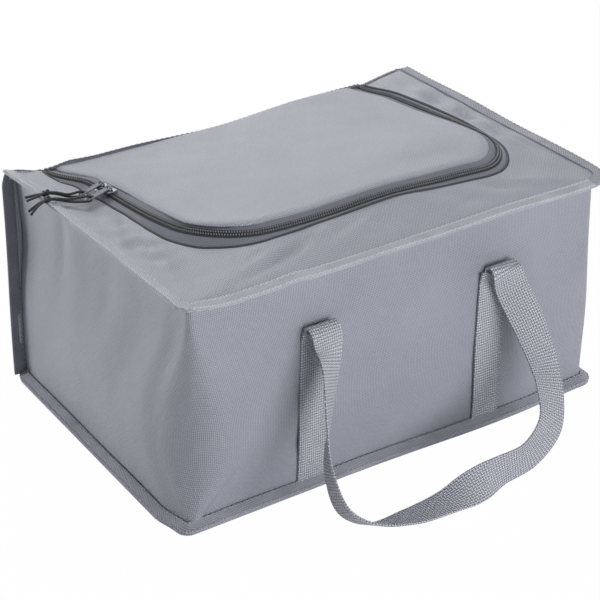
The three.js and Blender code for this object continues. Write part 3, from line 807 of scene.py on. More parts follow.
@dataclass(frozen=True)
class BagForm:
    """The bag's main sizes, read from the solids, and the soft shape that its pieces share.

    The walls and the rim end at back_end, in front of the back seam.
    """

    half_x: float
    front: float
    back: float
    back_end: float
    flange: float
    foot: float
    rim: float
    hinge_y: float
    hinge_z: float
    tape_z: float
    tilt_cos: float
    tilt_sin: float
    zip_left: float
    zip_right: float
    zip_front: float
    left_bend: float
    right_bend: float
    zip_end: float = 2 * MM
    zip_radius: float = 60 * MM
    bend_length: float = 46 * MM
    drawn_in: float = 6 * MM
    near_corner: float = 5 * MM
    far_corner: float = 15 * MM
    soft_near_corner: float = 46 * MM
    soft_far_corner: float = 8 * MM
    foot_far_corner: float = 5 * MM
    back_corner: float = 14 * MM
    edge_tuck: float = 1.0 * MM
    bulge: float = 1.4 * MM
    unevenness: float = 0.5 * MM
    hollow: float = 5.5 * MM
    foot_bow: float = 5.0 * MM
    left_foot_bow: float = 9.5 * MM
    crest_ramp: float = 8 * MM
    crest_rise: float = 1.5 * MM
    sag: float = 6.0 * MM
    bow_ramp: float = 10 * MM
    bow_band: float = 20 * MM
    wall_seed: int = 7
    wall_wave: float = 0.11
    back_seed: int = 19
    back_wave: float = 0.12

    # Where the left wall's hollow ends along the rim, and its middle and reach as shares of the height.
    HOLLOW_END = (0.27, 0.31)
    HOLLOW_AT = (0.68, 0.2)

    # Where the top's back edge starts to sink, along the bag and across it.
    SAG_ALONG = (-0.205, -0.125)
    SAG_ACROSS = (0.055, 0.146)

    # The back panel's folds: height in millimetres, middle and width along x, and slant.
    BACK_FOLDS = ((0.9, -0.05, 0.03, -0.2), (-1.1, 0.12, 0.035, 0.15))

    # The zip's band leans outwards from the lid. Run along the zip in millimetres, lean of the bag's
    # half in degrees, width of bag tape that shows in millimetres and lean of the lid's half, from
    # the back left round the front to the back right.
    BAND = np.array([
        (0, 4, 2.0, 2), (25, 22, 9.0, 3), (60, 28, 11.5, 4), (90, 20, 11.0, 5), (130, 18, 10.5, 14),
        (183, 34, 12.5, 28), (222, 36, 14.5, 32), (245, 32, 12.5, 30), (277, 22, 9.5, 26),
        (320, 10, 8.0, 24), (400, 6, 7.5, 22), (450, 20, 9.0, 24), (497, 28, 10.0, 28),
        (545, 40, 10.0, 28), (591, 34, 9.0, 26), (640, 6, 8.0, 14), (680, -12, 7.5, 6),
        (740, -12, 7.0, 4), (775, -4, 6.0, 2),
    ])

    CREASES = (
        Crease(Side.LEFT, 139, 168, 60, 2.2, 0, -2.6),
        Crease(Side.LEFT, 128, 150, 80, 7, 1, 1.2),
        Crease(Side.LEFT, 62, 175, 38, 9, 6, -2.6),
        Crease(Side.LEFT, 38, 170, 45, 12, -4, 1.4),
        Crease(Side.LEFT, -18, 165, 45, 12, 8, -1.4),
        Crease(Side.LEFT, -70, 120, 80, 22, 4, -1.6),
        Crease(Side.LEFT, -112, 150, 60, 10, 2, 1.4),
        Crease(Side.LEFT, 30, 60, 60, 26, -12, 0.9),
        Crease(Side.FRONT, -196, 165, 45, 9, 3, -1.2),
        Crease(Side.FRONT, -128, 96, 34, 10, 62, -1.3),
        Crease(Side.FRONT, -122, 60, 40, 10, 58, -1.6),
        Crease(Side.FRONT, -20, 112, 60, 14, 78, -1.5),
        Crease(Side.FRONT, 40, 150, 70, 22, -35, -1.2),
        Crease(Side.FRONT, 20, 60, 60, 18, 70, -1.2),
        Crease(Side.FRONT, 150, 120, 70, 20, 20, -1.3),
        Crease(Side.FRONT, 170, 40, 40, 14, -40, -1.0),
        Crease(Side.RIGHT, -40, 130, 70, 18, 5, -1.6),
        Crease(Side.RIGHT, 60, 90, 70, 20, -8, -1.4),
    )

    # Swells and dents of the stuffed top about the zip's plane, as swells() reads them.
    TOP_SWELLS = (
        (2.6, -135, 50, 0.0, -75, 40),
        (3.2, 18, 52, 0.0, -96, 60),
        (-3.0, 142, 26, 0.0, -80, 30),
        (2.2, 175, 40, 0.0, -10, 45),
    )

    # Bumps of the rim past the left front corner: height, middle and width in millimetres.
    RIM_BUMPS = ((-1.6, 160, 70), (1.4, 95, 12), (-1.3, 45, 30), (1.0, 320, 50), (-0.9, 560, 50))

    @classmethod
    def read(cls) -> "BagForm":
        """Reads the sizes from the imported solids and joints."""
        wall_low, wall_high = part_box("wall_wrap")
        base_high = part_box("base_binding")[1]
        rim_low, rim_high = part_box("top_binding")
        coil_low, coil_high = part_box("zip_coil_lid")
        joints = {joint["name"]: joint for joint in frame["joints"]}
        slide = joints["slider_back_slide"]["axis"]
        hinge = joints["lid_hinge"]["pos_m"]
        front_leg = coil_low.y - ZIP_GROOVE
        zip_left = joints["pull_back_swing"]["pos_m"][0]
        return cls(
            half_x=wall_high.x,
            front=wall_low.y,
            back=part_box("back_panel")[1].y,
            back_end=wall_high.y,
            flange=base_high.x - wall_high.x,
            foot=base_high.z,
            rim=(rim_low.z + rim_high.z) / 2,
            hinge_y=hinge[1],
            hinge_z=hinge[2],
            tape_z=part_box("lid_panel")[0].z,
            tilt_cos=slide[1],
            tilt_sin=-slide[2],
            zip_left=zip_left,
            zip_right=coil_high.x + ZIP_GROOVE,
            left_bend=zip_left - coil_low.x + ZIP_GROOVE,
            right_bend=coil_high.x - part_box("lid_binding")[1].x,
            zip_front=hinge[1] + (front_leg - hinge[1]) / slide[1],
        )

    @property
    def slope(self) -> Array:
        """The way along the zip's plane to the hinge."""
        return np.array([0.0, self.tilt_cos, -self.tilt_sin])

    @property
    def square(self) -> Array:
        """The way square out of the zip's plane."""
        return np.array([0.0, self.tilt_sin, self.tilt_cos])

    def rim_path(self, near: float, far: float) -> Path:
        """The walls' line in plan, with a radius for the left front corner and one for the right."""
        return open_path(-self.half_x, self.half_x, self.front, self.back_end, near, far)

    def zip_path(self) -> Path:
        """The zip's middle line in its own plane, with the same stations as the rim."""
        end, radius = self.hinge_y - self.zip_end, self.zip_radius
        points = open_path(self.zip_left, self.zip_right, self.zip_front, end, radius, radius).points
        points[:, 0] -= self.leg_bend(points[:, 0], points[:, 1])
        forward = unit(np.gradient(points, axis=0))
        out = np.stack([forward[:, 1], -forward[:, 0]], 1)
        points = points - out * self.drawn_in * hump(0.215, 0.05, run_length(points))[:, None]
        return Path(points, out)

    def leg_bend(self, x: Array, y: Array) -> Array:
        """How far a leg of the zip has bent to the left on its last stretch to the hinge."""
        share = ease(self.back_end - self.bend_length, self.back_end, y)
        return share * np.where(np.asarray(x) < 0, self.left_bend, self.right_bend)

    def band_lean(self, run: Array, half: Half) -> Array:
        """The lean of one half of the zip's band at a run along the zip, in radians."""
        column = 1 if half is Half.BAG else 3
        return np.radians(np.interp(run, self.BAND[:, 0] * MM, self.BAND[:, column]))

    def band_width(self, run: Array) -> Array:
        """How much bag tape shows beside the coil at a run along the zip."""
        return np.interp(run, self.BAND[:, 0] * MM, self.BAND[:, 2]) * MM

    def on_band(self, path: Path, aside: Array, above: Array) -> Array:
        """Places on the leaning band of the zip.

        From the coil the band falls outwards to the bag and rises inwards to the lid, each half by
        its own lean.

        Args:
            path: the zip's middle line, n stations.
            aside: distance outwards from the coil, n by m.
            above: height over the band, n by m.

        Returns:
            Points, n by m by 3.
        """
        aside, above = np.broadcast_arrays(aside, above)
        run = run_length(path.points)[:, None]
        lean = np.where(aside < 0, self.band_lean(run, Half.LID), self.band_lean(run, Half.BAG))
        plan = path.points[:, None] + path.out[:, None] * (aside * np.cos(lean))[..., None]
        return self.on_zip_plane(plan[..., 0], plan[..., 1], above - aside * np.sin(lean))

    def back_crest(self, x: Array) -> Array:
        """Height of the top's back edge: down from the rim to the zip's ends, and sunk behind the lid."""
        left, right = self.zip_left - self.left_bend, self.zip_right - self.right_bend
        near = self.crest_ramp
        places = (-self.half_x, left - near, left + near, right - near, right + near, self.half_x)
        low = self.tape_z + self.crest_rise
        heights = (self.rim, low, low, low, low, self.rim)
        return np.interp(x, places, heights) + self.back_sag(x, np.full_like(x, self.back))

    def on_zip_plane(self, x: Array, y: Array, above: Array) -> Array:
        """Turns a place on the zip's sloping plane into the bag's frame.

        The plane turns about the hinge line: y is run along the slope, and above square to it.

        Args:
            x: place along the bag.
            y: place along the slope.
            above: height over the plane, to which the soft lift is added.

        Returns:
            Points in the bag's frame.
        """
        x, y, above = np.broadcast_arrays(x, y, above)
        height = above + self.zip_swell(x, y)
        run = y - self.hinge_y
        sloped_y = self.hinge_y + run * self.tilt_cos + height * self.tilt_sin
        sloped_z = self.tape_z - run * self.tilt_sin + height * self.tilt_cos
        return np.stack([x, sloped_y, sloped_z], -1)

    def zip_swell(self, x: Array, y: Array) -> Array:
        """How far the stuffed top stands over or under the zip's flat plane."""
        return swells(x, y, self.TOP_SWELLS) + self.back_sag(x, y)

    def back_sag(self, x: Array, y: Array) -> Array:
        """How far the top sinks along its back edge, most behind the left half of the lid."""
        span = ease(*self.SAG_ALONG, x) * (1 - 0.85 * ease(0.0, 0.1, x))
        return -self.sag * span * ease(*self.SAG_ACROSS, y)

    def rim_wave(self, run: Array) -> Array:
        """Rise and fall of the bound rim along its length from the back left."""
        past = run - (self.back_end - self.front)
        wave = np.sin(run / 0.037) * hump(0.12, 0.1, run)
        for high, middle, width in self.RIM_BUMPS:
            wave = wave + high * hump(middle * MM, width * MM, past)
        return wave * MM

    def run_at(self, side: Side, place: Array) -> Array:
        """Length along the rim at a place on one wall.

        Args:
            side: the wall.
            place: y on the left and right walls, x on the front.

        Returns:
            The run from the back left.
        """
        saved = 2 - math.pi / 2
        depth = self.back_end - self.front
        if side is Side.LEFT:
            return self.back_end - np.asarray(place, float)
        front = depth - saved * self.near_corner + np.asarray(place, float) + self.half_x
        if side is Side.FRONT:
            return front
        turn = depth - saved * (self.near_corner + self.far_corner) + 2 * self.half_x
        return turn + np.asarray(place, float) - self.front

    def wall_swell(self, run: Array, height: Array) -> Array:
        """How far a wall stands out of its flat place: stuffing, folds and uneven cloth.

        Args:
            run: length along the rim.
            height: height over the floor.

        Returns:
            The distance outwards, nothing at the top and bottom seams.
        """
        share = np.clip((height - self.foot) / (self.rim - self.foot), 0.0, 1.0)
        held = ease(0.0, 0.12, share) * (1 - ease(0.93, 1.0, share))
        left = 1 - ease(*self.HOLLOW_END, run)
        swell = self.bulge * np.sin(math.pi * share) - self.hollow * left * hump(*self.HOLLOW_AT, share)
        swell = swell + self.unevenness * ripples(run, height * 0.7, self.wall_seed, self.wall_wave)
        for crease in self.CREASES:
            aside = run - self.run_at(crease.side, crease.along_mm * MM)
            upward = height - crease.height_mm * MM
            turn = math.radians(crease.lean_deg)
            along = upward * math.cos(turn) + aside * math.sin(turn)
            across = aside * math.cos(turn) - upward * math.sin(turn)
            shape = hump(0, crease.length_mm * MM, along) * hump(0, crease.width_mm * MM, across)
            swell = swell + crease.depth_mm * MM * shape
        along_front = run - self.run_at(Side.FRONT, 0.0)
        foot_bow = self.foot_bulge(along_front) + self.left_foot_bulge(self.back_end - run)
        return swell * held + foot_bow * (1 - share) ** 2

    def foot_bulge(self, x: Array) -> Array:
        """How far the front wall's foot bows out, most to the right of the middle."""
        return self.foot_bow * hump(0.1, 0.09, x)

    def left_foot_bulge(self, y: Array) -> Array:
        """How far the left wall's foot stands out: more and more forwards, half as far at the corner."""
        forwards = np.clip((self.back_end - y) / (0.9 * (self.back_end - self.front)), 0.0, 1.0)
        before = ease(self.front, self.front + 0.03, y)
        past = ease(self.front - 0.006, self.front, y)
        return self.left_foot_bow * forwards * (before + past) / 2

    def front_skin(self, x: Array, height: Array, proud: Array) -> Array:
        """Points that stand proud of the front wall's cloth by a distance."""
        x, height, proud = np.broadcast_arrays(x, height, proud)
        swell = self.wall_swell(self.run_at(Side.FRONT, x), height)
        return np.stack([x, self.front - swell - proud, height], -1)

    def back_swell(self, x: Array, height: Array) -> Array:
        """How far the back panel stands out behind its flat place."""
        share = np.clip((height - self.foot) / (self.hinge_z - self.foot), 0.0, 1.0)
        held = ease(0.0, 0.1, share) * (1 - ease(0.85, 1.0, share)) * (1 - ease(0.19, 0.213, np.abs(x)))
        folds = 0.0
        for high, middle, width, slant in self.BACK_FOLDS:
            folds = folds + high * hump(middle, width, x + slant * height)
        soft = self.bulge * np.sin(math.pi * share)
        soft = soft + self.unevenness * ripples(x, height, self.back_seed, self.back_wave)
        return (soft + folds * MM) * held

    def back_skin(self, x: Array, height: Array, proud: Array) -> Array:
        """Points that stand proud of the back panel's cloth by a distance."""
        x, height, proud = np.broadcast_arrays(x, height, proud)
        return np.stack([x, self.back + self.back_swell(x, height) + proud, height], -1)


@dataclass(frozen=True)
class Lamp:
    """A square soft lamp: where it hangs, what it looks at, its side in metres and its watts."""

    name: str
    place: tuple[float, float, float]
    aim: tuple[float, float, float]
    size: float
    power: float


@dataclass(frozen=True)
class Studio:
    """The camera at the picture's own angle, the pale floor and four soft lamps."""

    azimuth_deg: float = -35.08
    elevation_deg: float = 29.15
    roll_deg: float = 0.84
    lens_mm: float = 118.54
    sensor_mm: float = 36.0
    eye: tuple[float, float, float] = (-0.9164, -1.2986, 0.9692)
    fill: float = 0.03
    paper: str = "#f4f4f5"
    floor_glow: float = 0.99
    floor_reach: float = 4.0

    LAMPS = (
        Lamp("overhead_softbox", (0.0, 0.0, 2.0), (0.0, 0.0, 0.2), 1.2, 9.5),
        Lamp("back_softbox", (0.7, 1.45, 1.3), (0.0, 0.0, 0.2), 0.8, 18.0),
        Lamp("left_back_softbox", (-1.4, 1.7, 0.35), (-0.2, 0.0, 0.1), 1.0, 28.0),
        Lamp("front_softbox", (0.2, -2.03, 0.4), (0.1, -0.1, 0.1), 1.6, 33.0),
    )

    # Very nearly the bag's depth, so that a lamp straight overhead has a right hand too.
    LAMP_GUIDE = (0.0, 1.0, 0.01)

    def build(self) -> None:
        """Sets up the picture."""
        self.place_camera()
        self.lay_floor()
        self.light_world()
        for lamp in self.LAMPS:
            self.hang(lamp)
        bpy.context.scene.view_settings.view_transform = "Standard"

    def put(self, data: bpy.types.ID, axes: Sequence[Array], place: Sequence[float]) -> bpy.types.Object:
        """Puts a camera or a lamp at a place, by its right, up and back directions."""
        matrix = np.eye(4)
        matrix[:3, :3] = np.stack(axes, 1)
        matrix[:3, 3] = place
        thing = bpy.data.objects.new(data.name, data)
        thing.matrix_world = Matrix(matrix.tolist())
        bpy.context.scene.collection.objects.link(thing)
        return thing

    def place_camera(self) -> None:
        """Turns the camera by azimuth, elevation and roll about its own eye."""
        turn, rise = math.radians(self.azimuth_deg), math.radians(self.elevation_deg)
        roll = math.radians(self.roll_deg)
        back = np.array([math.sin(turn) * math.cos(rise), -math.cos(turn) * math.cos(rise), math.sin(rise)])
        right = np.array([math.cos(turn), math.sin(turn), 0.0])
        up = np.cross(back, right)
        rolled_right = right * math.cos(roll) + up * math.sin(roll)
        rolled_up = up * math.cos(roll) - right * math.sin(roll)
        data = bpy.data.cameras.new("picture_camera")
        data.lens = self.lens_mm
        data.sensor_width = self.sensor_mm
        bpy.context.scene.camera = self.put(data, (rolled_right, rolled_up, back), self.eye)

    def hang(self, lamp: Lamp) -> None:
        """Hangs a lamp so that it looks at its aim."""
        data = bpy.data.lights.new(lamp.name, "AREA")
        data.size = lamp.size
        data.energy = lamp.power
        back = unit(np.array(lamp.place) - np.array(lamp.aim))
        right = unit(np.cross(self.LAMP_GUIDE, back))
        self.put(data, (right, np.cross(back, right), back), lamp.place)

    def seen_directly(self, tree: Tree) -> Socket:
        """One for rays from the camera and for mirrored and refracted ones, else nothing."""
        ray = add_node(tree, "LightPath").outputs
        seen = ray["Is Camera Ray"]
        for kind in ("Is Glossy Ray", "Is Transmission Ray"):
            both = {0: seen, 1: ray[kind]}
            seen = add_node(tree, "Math", both, operation="ADD", use_clamp=True).outputs[0]
        return seen

    def lay_floor(self) -> None:
        """A pale paper floor: mostly its own white to the camera, so that only contact shade shows."""
        material = bpy.data.materials.new("matt_white_paper")
        material.use_nodes = True
        tree = material.node_tree
        tree.nodes.clear()
        paper = add_node(tree, "BsdfDiffuse", {"Color": linear(self.paper)}).outputs[0]
        white = add_node(tree, "Emission", {"Color": (1, 1, 1, 1), "Strength": 1.0}).outputs[0]
        factors = {0: self.seen_directly(tree), 1: self.floor_glow}
        share = add_node(tree, "Math", factors, operation="MULTIPLY").outputs[0]
        mixed = add_node(tree, "MixShader", {0: share, 1: paper, 2: white}).outputs[0]
        add_node(tree, "OutputMaterial", {"Surface": mixed})
        mesh = bpy.data.meshes.new("paper_floor")
        corners = np.array([(-1, -1, 0), (1, -1, 0), (1, 1, 0), (-1, 1, 0)])
        mesh.from_pydata(corners * self.floor_reach, [], [(0, 1, 2, 3)])
        mesh.materials.append(material)
        floor = bpy.data.objects.new("paper_floor", mesh)
        bpy.context.scene.collection.objects.link(floor)

    def light_world(self) -> None:
        """White where it is seen, and an even grey fill where it lights the object."""
        world = bpy.data.worlds.new("white_studio")
        world.use_nodes = True
        tree = world.node_tree
        tree.nodes.clear()
        limits = {"Value": self.seen_directly(tree), "To Min": self.fill, "To Max": 1.0}
        strength = add_node(tree, "MapRange", limits).outputs["Result"]
        glow = add_node(tree, "Background", {"Color": (1, 1, 1, 1), "Strength": strength}).outputs[0]
        add_node(tree, "OutputWorld", {"Surface": glow})
        bpy.context.scene.world = world


@dataclass(frozen=True)
class PullCords:
    """One zip pull's doubled cord: two strands through the pull's end slot, a knot and two tails."""

    form: BagForm
    which: str
    knot_at: float
    droop: float
    slot_at: float = 19.25 * MM
    pull_length: float = 24.0 * MM
    radius: float = 1.2 * MM
    knot_radius: float = 1.0 * MM
    turn: float = 2.1 * MM
    rise: float = 2.8 * MM
    veer: float = 4.0 * MM
    lift_deg: float = -15.0

    # Past the knot, to the cord's side and above it, in millimetres, from the slot to the end. A
    # tail's last number is its share of the droop.
    STRAND = ((-17, 0.5, 1.2), (-8, 0.8, 0.9), (0, 0.9, 0.7))
    TAIL = ((8, 1.6, 0.2), (14, 2.6, 0.55), (20, 4.0, 1.0))

    # The knot's size along the pull, beside it and above it, in millimetres.
    KNOT = (0.95, 0.75, 1.5)

    def on_pull(self, local: Array) -> Array:
        """Turns places along, beside and above the pull into the bag's frame.

        The pull lies across the zip, outwards, and droops from the slider's eye on to the cloth.
        """
        form = self.form
        lift = math.radians(self.lift_deg)
        along = local[..., :1] * math.cos(lift) - local[..., 2:] * math.sin(lift)
        above = local[..., :1] * math.sin(lift) + local[..., 2:] * math.cos(lift)
        outward = np.array([-1.0, 0.0, 0.0])
        return eye_of(self.which) + along * outward - local[..., 1:2] * form.slope + above * form.square

    def route(self, lower: bool) -> Array:
        """Points of one strand from the slot to its tail's end, smoothed by a Catmull-Rom curve."""
        strand = np.array(self.STRAND) * MM
        tail = np.array(self.TAIL) * (MM, MM, -self.droop)
        flip = -1.0 if lower else 1.0
        rows = np.concatenate([strand * (1, flip, flip), tail * (1, flip, 1)])
        rows[:, 0] += self.knot_at - (2 * MM if lower else 0.0)
        start = [(self.slot_at, 0.0, 0.25 * MM * flip), (self.slot_at + 0.9 * MM, 0.0, self.turn * flip)]
        return self.on_pull(flowing_line(np.concatenate([start, self.carried(rows)]), 8))

    def carried(self, rows: Array) -> Array:
        """Levels the cord past the pull's end, lifts it over the seam and veers it to the hinge."""
        share = ease(self.pull_length, self.knot_at, rows[:, 0])
        drop = math.sin(-math.radians(self.lift_deg))
        beyond = np.maximum(rows[:, 0] - self.pull_length, 0.0)
        raised = beyond * drop + share * (self.rise + self.pull_length * drop)
        return rows + np.stack([0 * share, -self.veer * share, raised], 1)

    def build(self) -> None:
        body = "pull_" + self.which
        turn = np.linspace(0, 2 * math.pi, 72, endpoint=False)
        along = np.sin(turn) + 2 * np.sin(2 * turn)
        beside = np.cos(turn) - 2 * np.cos(2 * turn)
        loop = np.stack([along, beside, -np.sin(3 * turn)], 1) * self.KNOT * MM
        centre = self.carried(np.array([[self.knot_at, 0.0, 0.2 * MM]]))
        knot = Skin()
        add_tube(knot, self.on_pull(loop + centre), self.knot_radius, 8, True)
        node = "pull_cord_" + self.which
        tied = knot.build("cord_knot_" + self.which, CORD, body, "cord")
        for lower, word in ((False, "upper"), (True, "lower")):
            route = self.route(lower)
            skin = Skin()
            add_tube(skin, route, self.radius, 10)
            stands_for = () if lower else (node,)
            strand = skin.build(f"cord_{word}_{self.which}", CORD, body, "cord", stands_for)


def eye_of(which: str) -> Array:
    """The place of a slider's rod, which its pull turns on."""
    joints = {joint["name"]: joint for joint in frame["joints"]}
    return np.array(joints[f"pull_{which}_swing"]["pos_m"], float)


def flowing_line(rows: Array, per_span: int) -> Array:
    """A smooth line through points: a centripetal Catmull-Rom curve.

    Each span is a blend of blends of its four nearest points, with knots spaced by the root of
    the distance between them. The two end spans use a point mirrored through the end.

    Args:
        rows: the points, n by 3.
        per_span: points made in each span.

    Returns:
        The line, which starts and ends at the first and last point.
    """
    ends = np.concatenate([2 * rows[:1] - rows[1:2], rows, 2 * rows[-1:] - rows[-2:-1]])
    knots = np.concatenate([[0.0], np.cumsum(np.linalg.norm(np.diff(ends, axis=0), axis=1) ** 0.5)])
    share = np.linspace(0, 1, per_span, endpoint=False)
    k = np.arange(1, len(rows))
    t = (knots[k, None] + share * (knots[k + 1] - knots[k])[:, None])[..., None]
    near = [ends[k + shift][:, None] for shift in (-1, 0, 1, 2)]
    knot = [knots[k + shift][:, None, None] for shift in (-1, 0, 1, 2)]

    def blend(low: Array, high: Array, start: Array, end: Array) -> Array:
        """The straight blend of two points between two knots."""
        return (low * (end - t) + high * (t - start)) / (end - start)

    first = blend(near[0], near[1], knot[0], knot[1])
    second = blend(near[1], near[2], knot[1], knot[2])
    third = blend(near[2], near[3], knot[2], knot[3])
    early = blend(first, second, knot[0], knot[2])
    late = blend(second, third, knot[1], knot[3])
    line = blend(early, late, knot[1], knot[2]).reshape(-1, rows.shape[1])
    return np.concatenate([line, rows[-1:]])


# A bound seam in section: how far out over the flange, and how high through its thickness.
# The tape is flat where the seam is sewn and rounded at its folded outer edge.
TAPE_SECTION = np.array([
    (1.00, 0.50), (0.985, 0.78), (0.90, 0.96), (0.72, 1.00), (0.52, 0.99), (0.38, 0.97), (0.26, 0.98),
    (0.12, 0.95), (0.03, 0.78), (0.03, 0.22), (0.15, 0.04), (0.45, 0.02), (0.72, 0.0), (0.90, 0.04),
    (0.985, 0.22),
])

# Rows of stitches over the flange, and how high they lie through the tape's thickness.
STITCH_ROWS = (0.12, 0.86)
STITCH_DEPTH = 0.47


@dataclass(frozen=True)
class BoundSeam:
    """A seam flange wrapped in folded tape and sewn through."""

    centres: Array
    out: Array
    up: Array
    width: Array
    thick: float
    closed: bool = False
    stitch_length: float = 2.6 * MM
    stitch_pitch: float = 2.7 * MM
    stitch_girth: float = 1.3 * MM
    stitch_lean: float = 0.7

    def section(self) -> Array:
        """The tape's section at each station, across and up, in metres."""
        width = np.broadcast_to(self.width, (len(self.centres),))
        across = TAPE_SECTION[None, :, 0] * width[:, None]
        height = np.broadcast_to((TAPE_SECTION[:, 1] - 0.5) * self.thick, across.shape)
        return np.stack([across, height], -1)

    def add_tape(self, skin: Skin) -> None:
        """Adds the tape: the section carried along the seam, laid flat about its folded edge."""
        section = self.section()
        grid = sweep(self.centres, self.out, self.up, section)
        cut = swept_cut(self.centres, section.mean(0), self.closed)
        half = cut[..., 1].max() / 2
        cut[..., 1] = (cut[..., 1] + half) % (2 * half) - half
        skin.add_grid(grid, cut, self.closed, True, capped=not self.closed)

    def add_seam(self, skin: Skin, side: float) -> None:
        """Sews the tape on one face with a row of short slanted stitches along each edge.

        Args:
            skin: gets the stitches.
            side: one for the upper face and minus one for the lower.
        """
        width = np.broadcast_to(self.width, (len(self.centres),))[:, None]
        up = joined_up(self.up, self.closed) * side
        thread = (self.stitch_length, self.stitch_pitch, self.stitch_girth, self.stitch_lean)
        for place in STITCH_ROWS:
            line = self.centres + self.out * width * place + self.up * side * STITCH_DEPTH * self.thick
            add_stitches(skin, joined_up(line, self.closed), up, *thread)


@dataclass(frozen=True)
class Shell:
    """The bag's outer cloth: base, padded walls, back and the top frame round the lid."""

    form: BagForm
    wall_rows: int = 60
    frame_rows: int = 26
    base_thick: float = 2.0 * MM
    base_inset: float = 1.6 * MM
    back_overlap: float = 4 * MM
    back_stations: tuple[int, int] = (116, 56)
    # Size and drop of the near-black tube whose colour is painted shade along the frame's inner edge.
    shade_tube_radius: float = 1.7 * MM
    shade_tube_drop: float = 0.9 * MM
    rise_power: float = 0.85
    fold_gain: float = 1.5
    frame_sag: float = 0.8 * MM
    left_gather: float = 0.0038
    right_gather: float = 0.0075
    film_sag: float = 5.5
    film_gap: float = 1.0

    # The base's rings, from its edge to its middle: share of the outline and height in millimetres.
    BASE_RINGS = ((1.0, 0.9), (1.0, 0.35), (0.985, 0.1), (0.9, 0.0), (0.7, 0.0), (0.4, 0.0), (0.1, 0.0))

    # The top frame's inner edge, rolled under: share of the way in and drop in millimetres.
    ROLL = np.array([(0.955, 0.0), (0.975, 0.15), (0.99, 0.5), (1.0, 1.0), (1.0, 1.9)])
    FLAT_SHARE = 0.93

    # The top frame's folds, as swells() reads them: two long ones, then small gathers on the left
    # and on the right.
    FOLDS = ((-2.2, -175, 12, -0.25, -60, 50), (1.6, -179, 12, -0.3, -30, 50))
    LEFT_GATHERS = ((0.9, -190, 25, 0.0, -30, 60),)
    RIGHT_GATHERS = ((1.8, 205, 25, 0.0, 20, 90),)

    def build(self) -> None:
        """Makes each panel in the order it is sewn."""
        self.make_base()
        self.make_walls()
        self.make_back()
        self.make_frame()

    def make_base(self) -> None:
        """The base cloth: a thin slab with rounded corners, its rings drawn in towards the middle."""
        form = self.form
        ring = base_loop(form).offset(form.flange - self.base_inset)[:-1]
        grid = np.stack([on_level(ring * share, height * MM) for share, height in self.BASE_RINGS], 1)
        cut = joined_up(grid, True)[..., :2]
        top = grid.copy()
        top[..., 2] = self.base_thick - top[..., 2]
        skin = Skin().add_grid(grid, cut, round_u=True, inside=BAG_MIDDLE)
        skin.add_grid(top, cut, round_u=True, inside=UNDER_BAG)
        skin.build("base_cloth", CLOTH, "bag", "cloth", ("base_panel",))

    def make_walls(self) -> None:
        """Left, front and right wall in one cloth: sharp corners at the seams, rounder between.

        A point is the plan line at its height plus the soft swell along the outward direction. The
        cloth's own measure runs both ways from the front's middle, at each height.
        """
        form = self.form
        sharp = form.rim_path(form.near_corner, form.far_corner)
        soft = form.rim_path(form.soft_near_corner, form.soft_far_corner)
        foot = form.rim_path(form.near_corner, form.foot_far_corner)
        run = run_length(sharp.points)
        share = np.linspace(0, 1, self.wall_rows)
        low, high = form.foot + 0.2 * MM, form.rim - 0.6 * MM
        wave = form.rim_wave(run)[:, None] * ease(0.6, 1.0, share)[None]
        height = (low + (high - low) * share)[None] + wave
        at_foot = 1 - ease(-0.02, 0.26, share)[None, :, None]
        at_rim = ease(0.36, 0.97, share)[None, :, None]
        plan = sharp.points[:, None] * at_rim + foot.points[:, None] * at_foot
        plan = plan + soft.points[:, None] * (1 - at_rim - at_foot)
        from_end = np.minimum(run, run[-1] - run)[:, None]
        swell = form.wall_swell(run[:, None], height) - form.edge_tuck * (1 - ease(0.0, 0.012, from_end))
        plan = plan + sharp.out[:, None] * swell[..., None]
        grid = np.concatenate([plan, height[..., None]], -1)
        steps = np.linalg.norm(np.diff(plan, axis=0), axis=-1)
        measure = np.concatenate([np.zeros((1, len(share))), steps.cumsum(0)])
        measure = measure - measure[len(run) // 2]
        skin = Skin().add_grid(grid, np.stack([measure, height], -1), inside=BAG_MIDDLE)
        stands_for = ("wall_wrap", "front_foam", "left_foam", "right_foam")
        skin.build("wall_cloth", CLOTH, "bag", "cloth", stands_for, CLOTH_THICK, 0.5)

    def make_back(self) -> None:
        """The back panel: a flat sheet with a soft swell, its top edge sunk behind the lid."""
        form = self.form
        columns, rows = self.back_stations
        reach = form.half_x + self.back_overlap
        x = np.linspace(-reach, reach, columns)[:, None]
        share = np.linspace(0, 1, rows)[None]
        height = form.foot + 0.2 * MM + (form.back_crest(x) - form.foot) * share
        cut = np.stack(np.broadcast_arrays(x, height), -1)
        skin = Skin().add_grid(form.back_skin(x, height, -0.3 * MM), cut, inside=BAG_MIDDLE)
        skin.build("back_cloth", CLOTH, "bag", "cloth", ("back_panel", "back_foam"), CLOTH_THICK, 0.5)

    def frame_edges(self) -> tuple[Array, Array]:
        """The top frame's outer edge at the rim and its inner edge over the zip tape."""
        form = self.form
        rim = form.rim_path(form.near_corner, form.far_corner)
        run = run_length(rim.points)
        outer = on_level(rim.offset(1.5 * MM), form.rim + 0.5 * MM + form.rim_wave(run))
        line = form.zip_path()
        wide = form.band_width(run_length(line.points))
        inner = form.on_band(line, wide[:, None], np.full((len(wide), 1), 1.6 * MM))[:, 0]
        return outer, inner

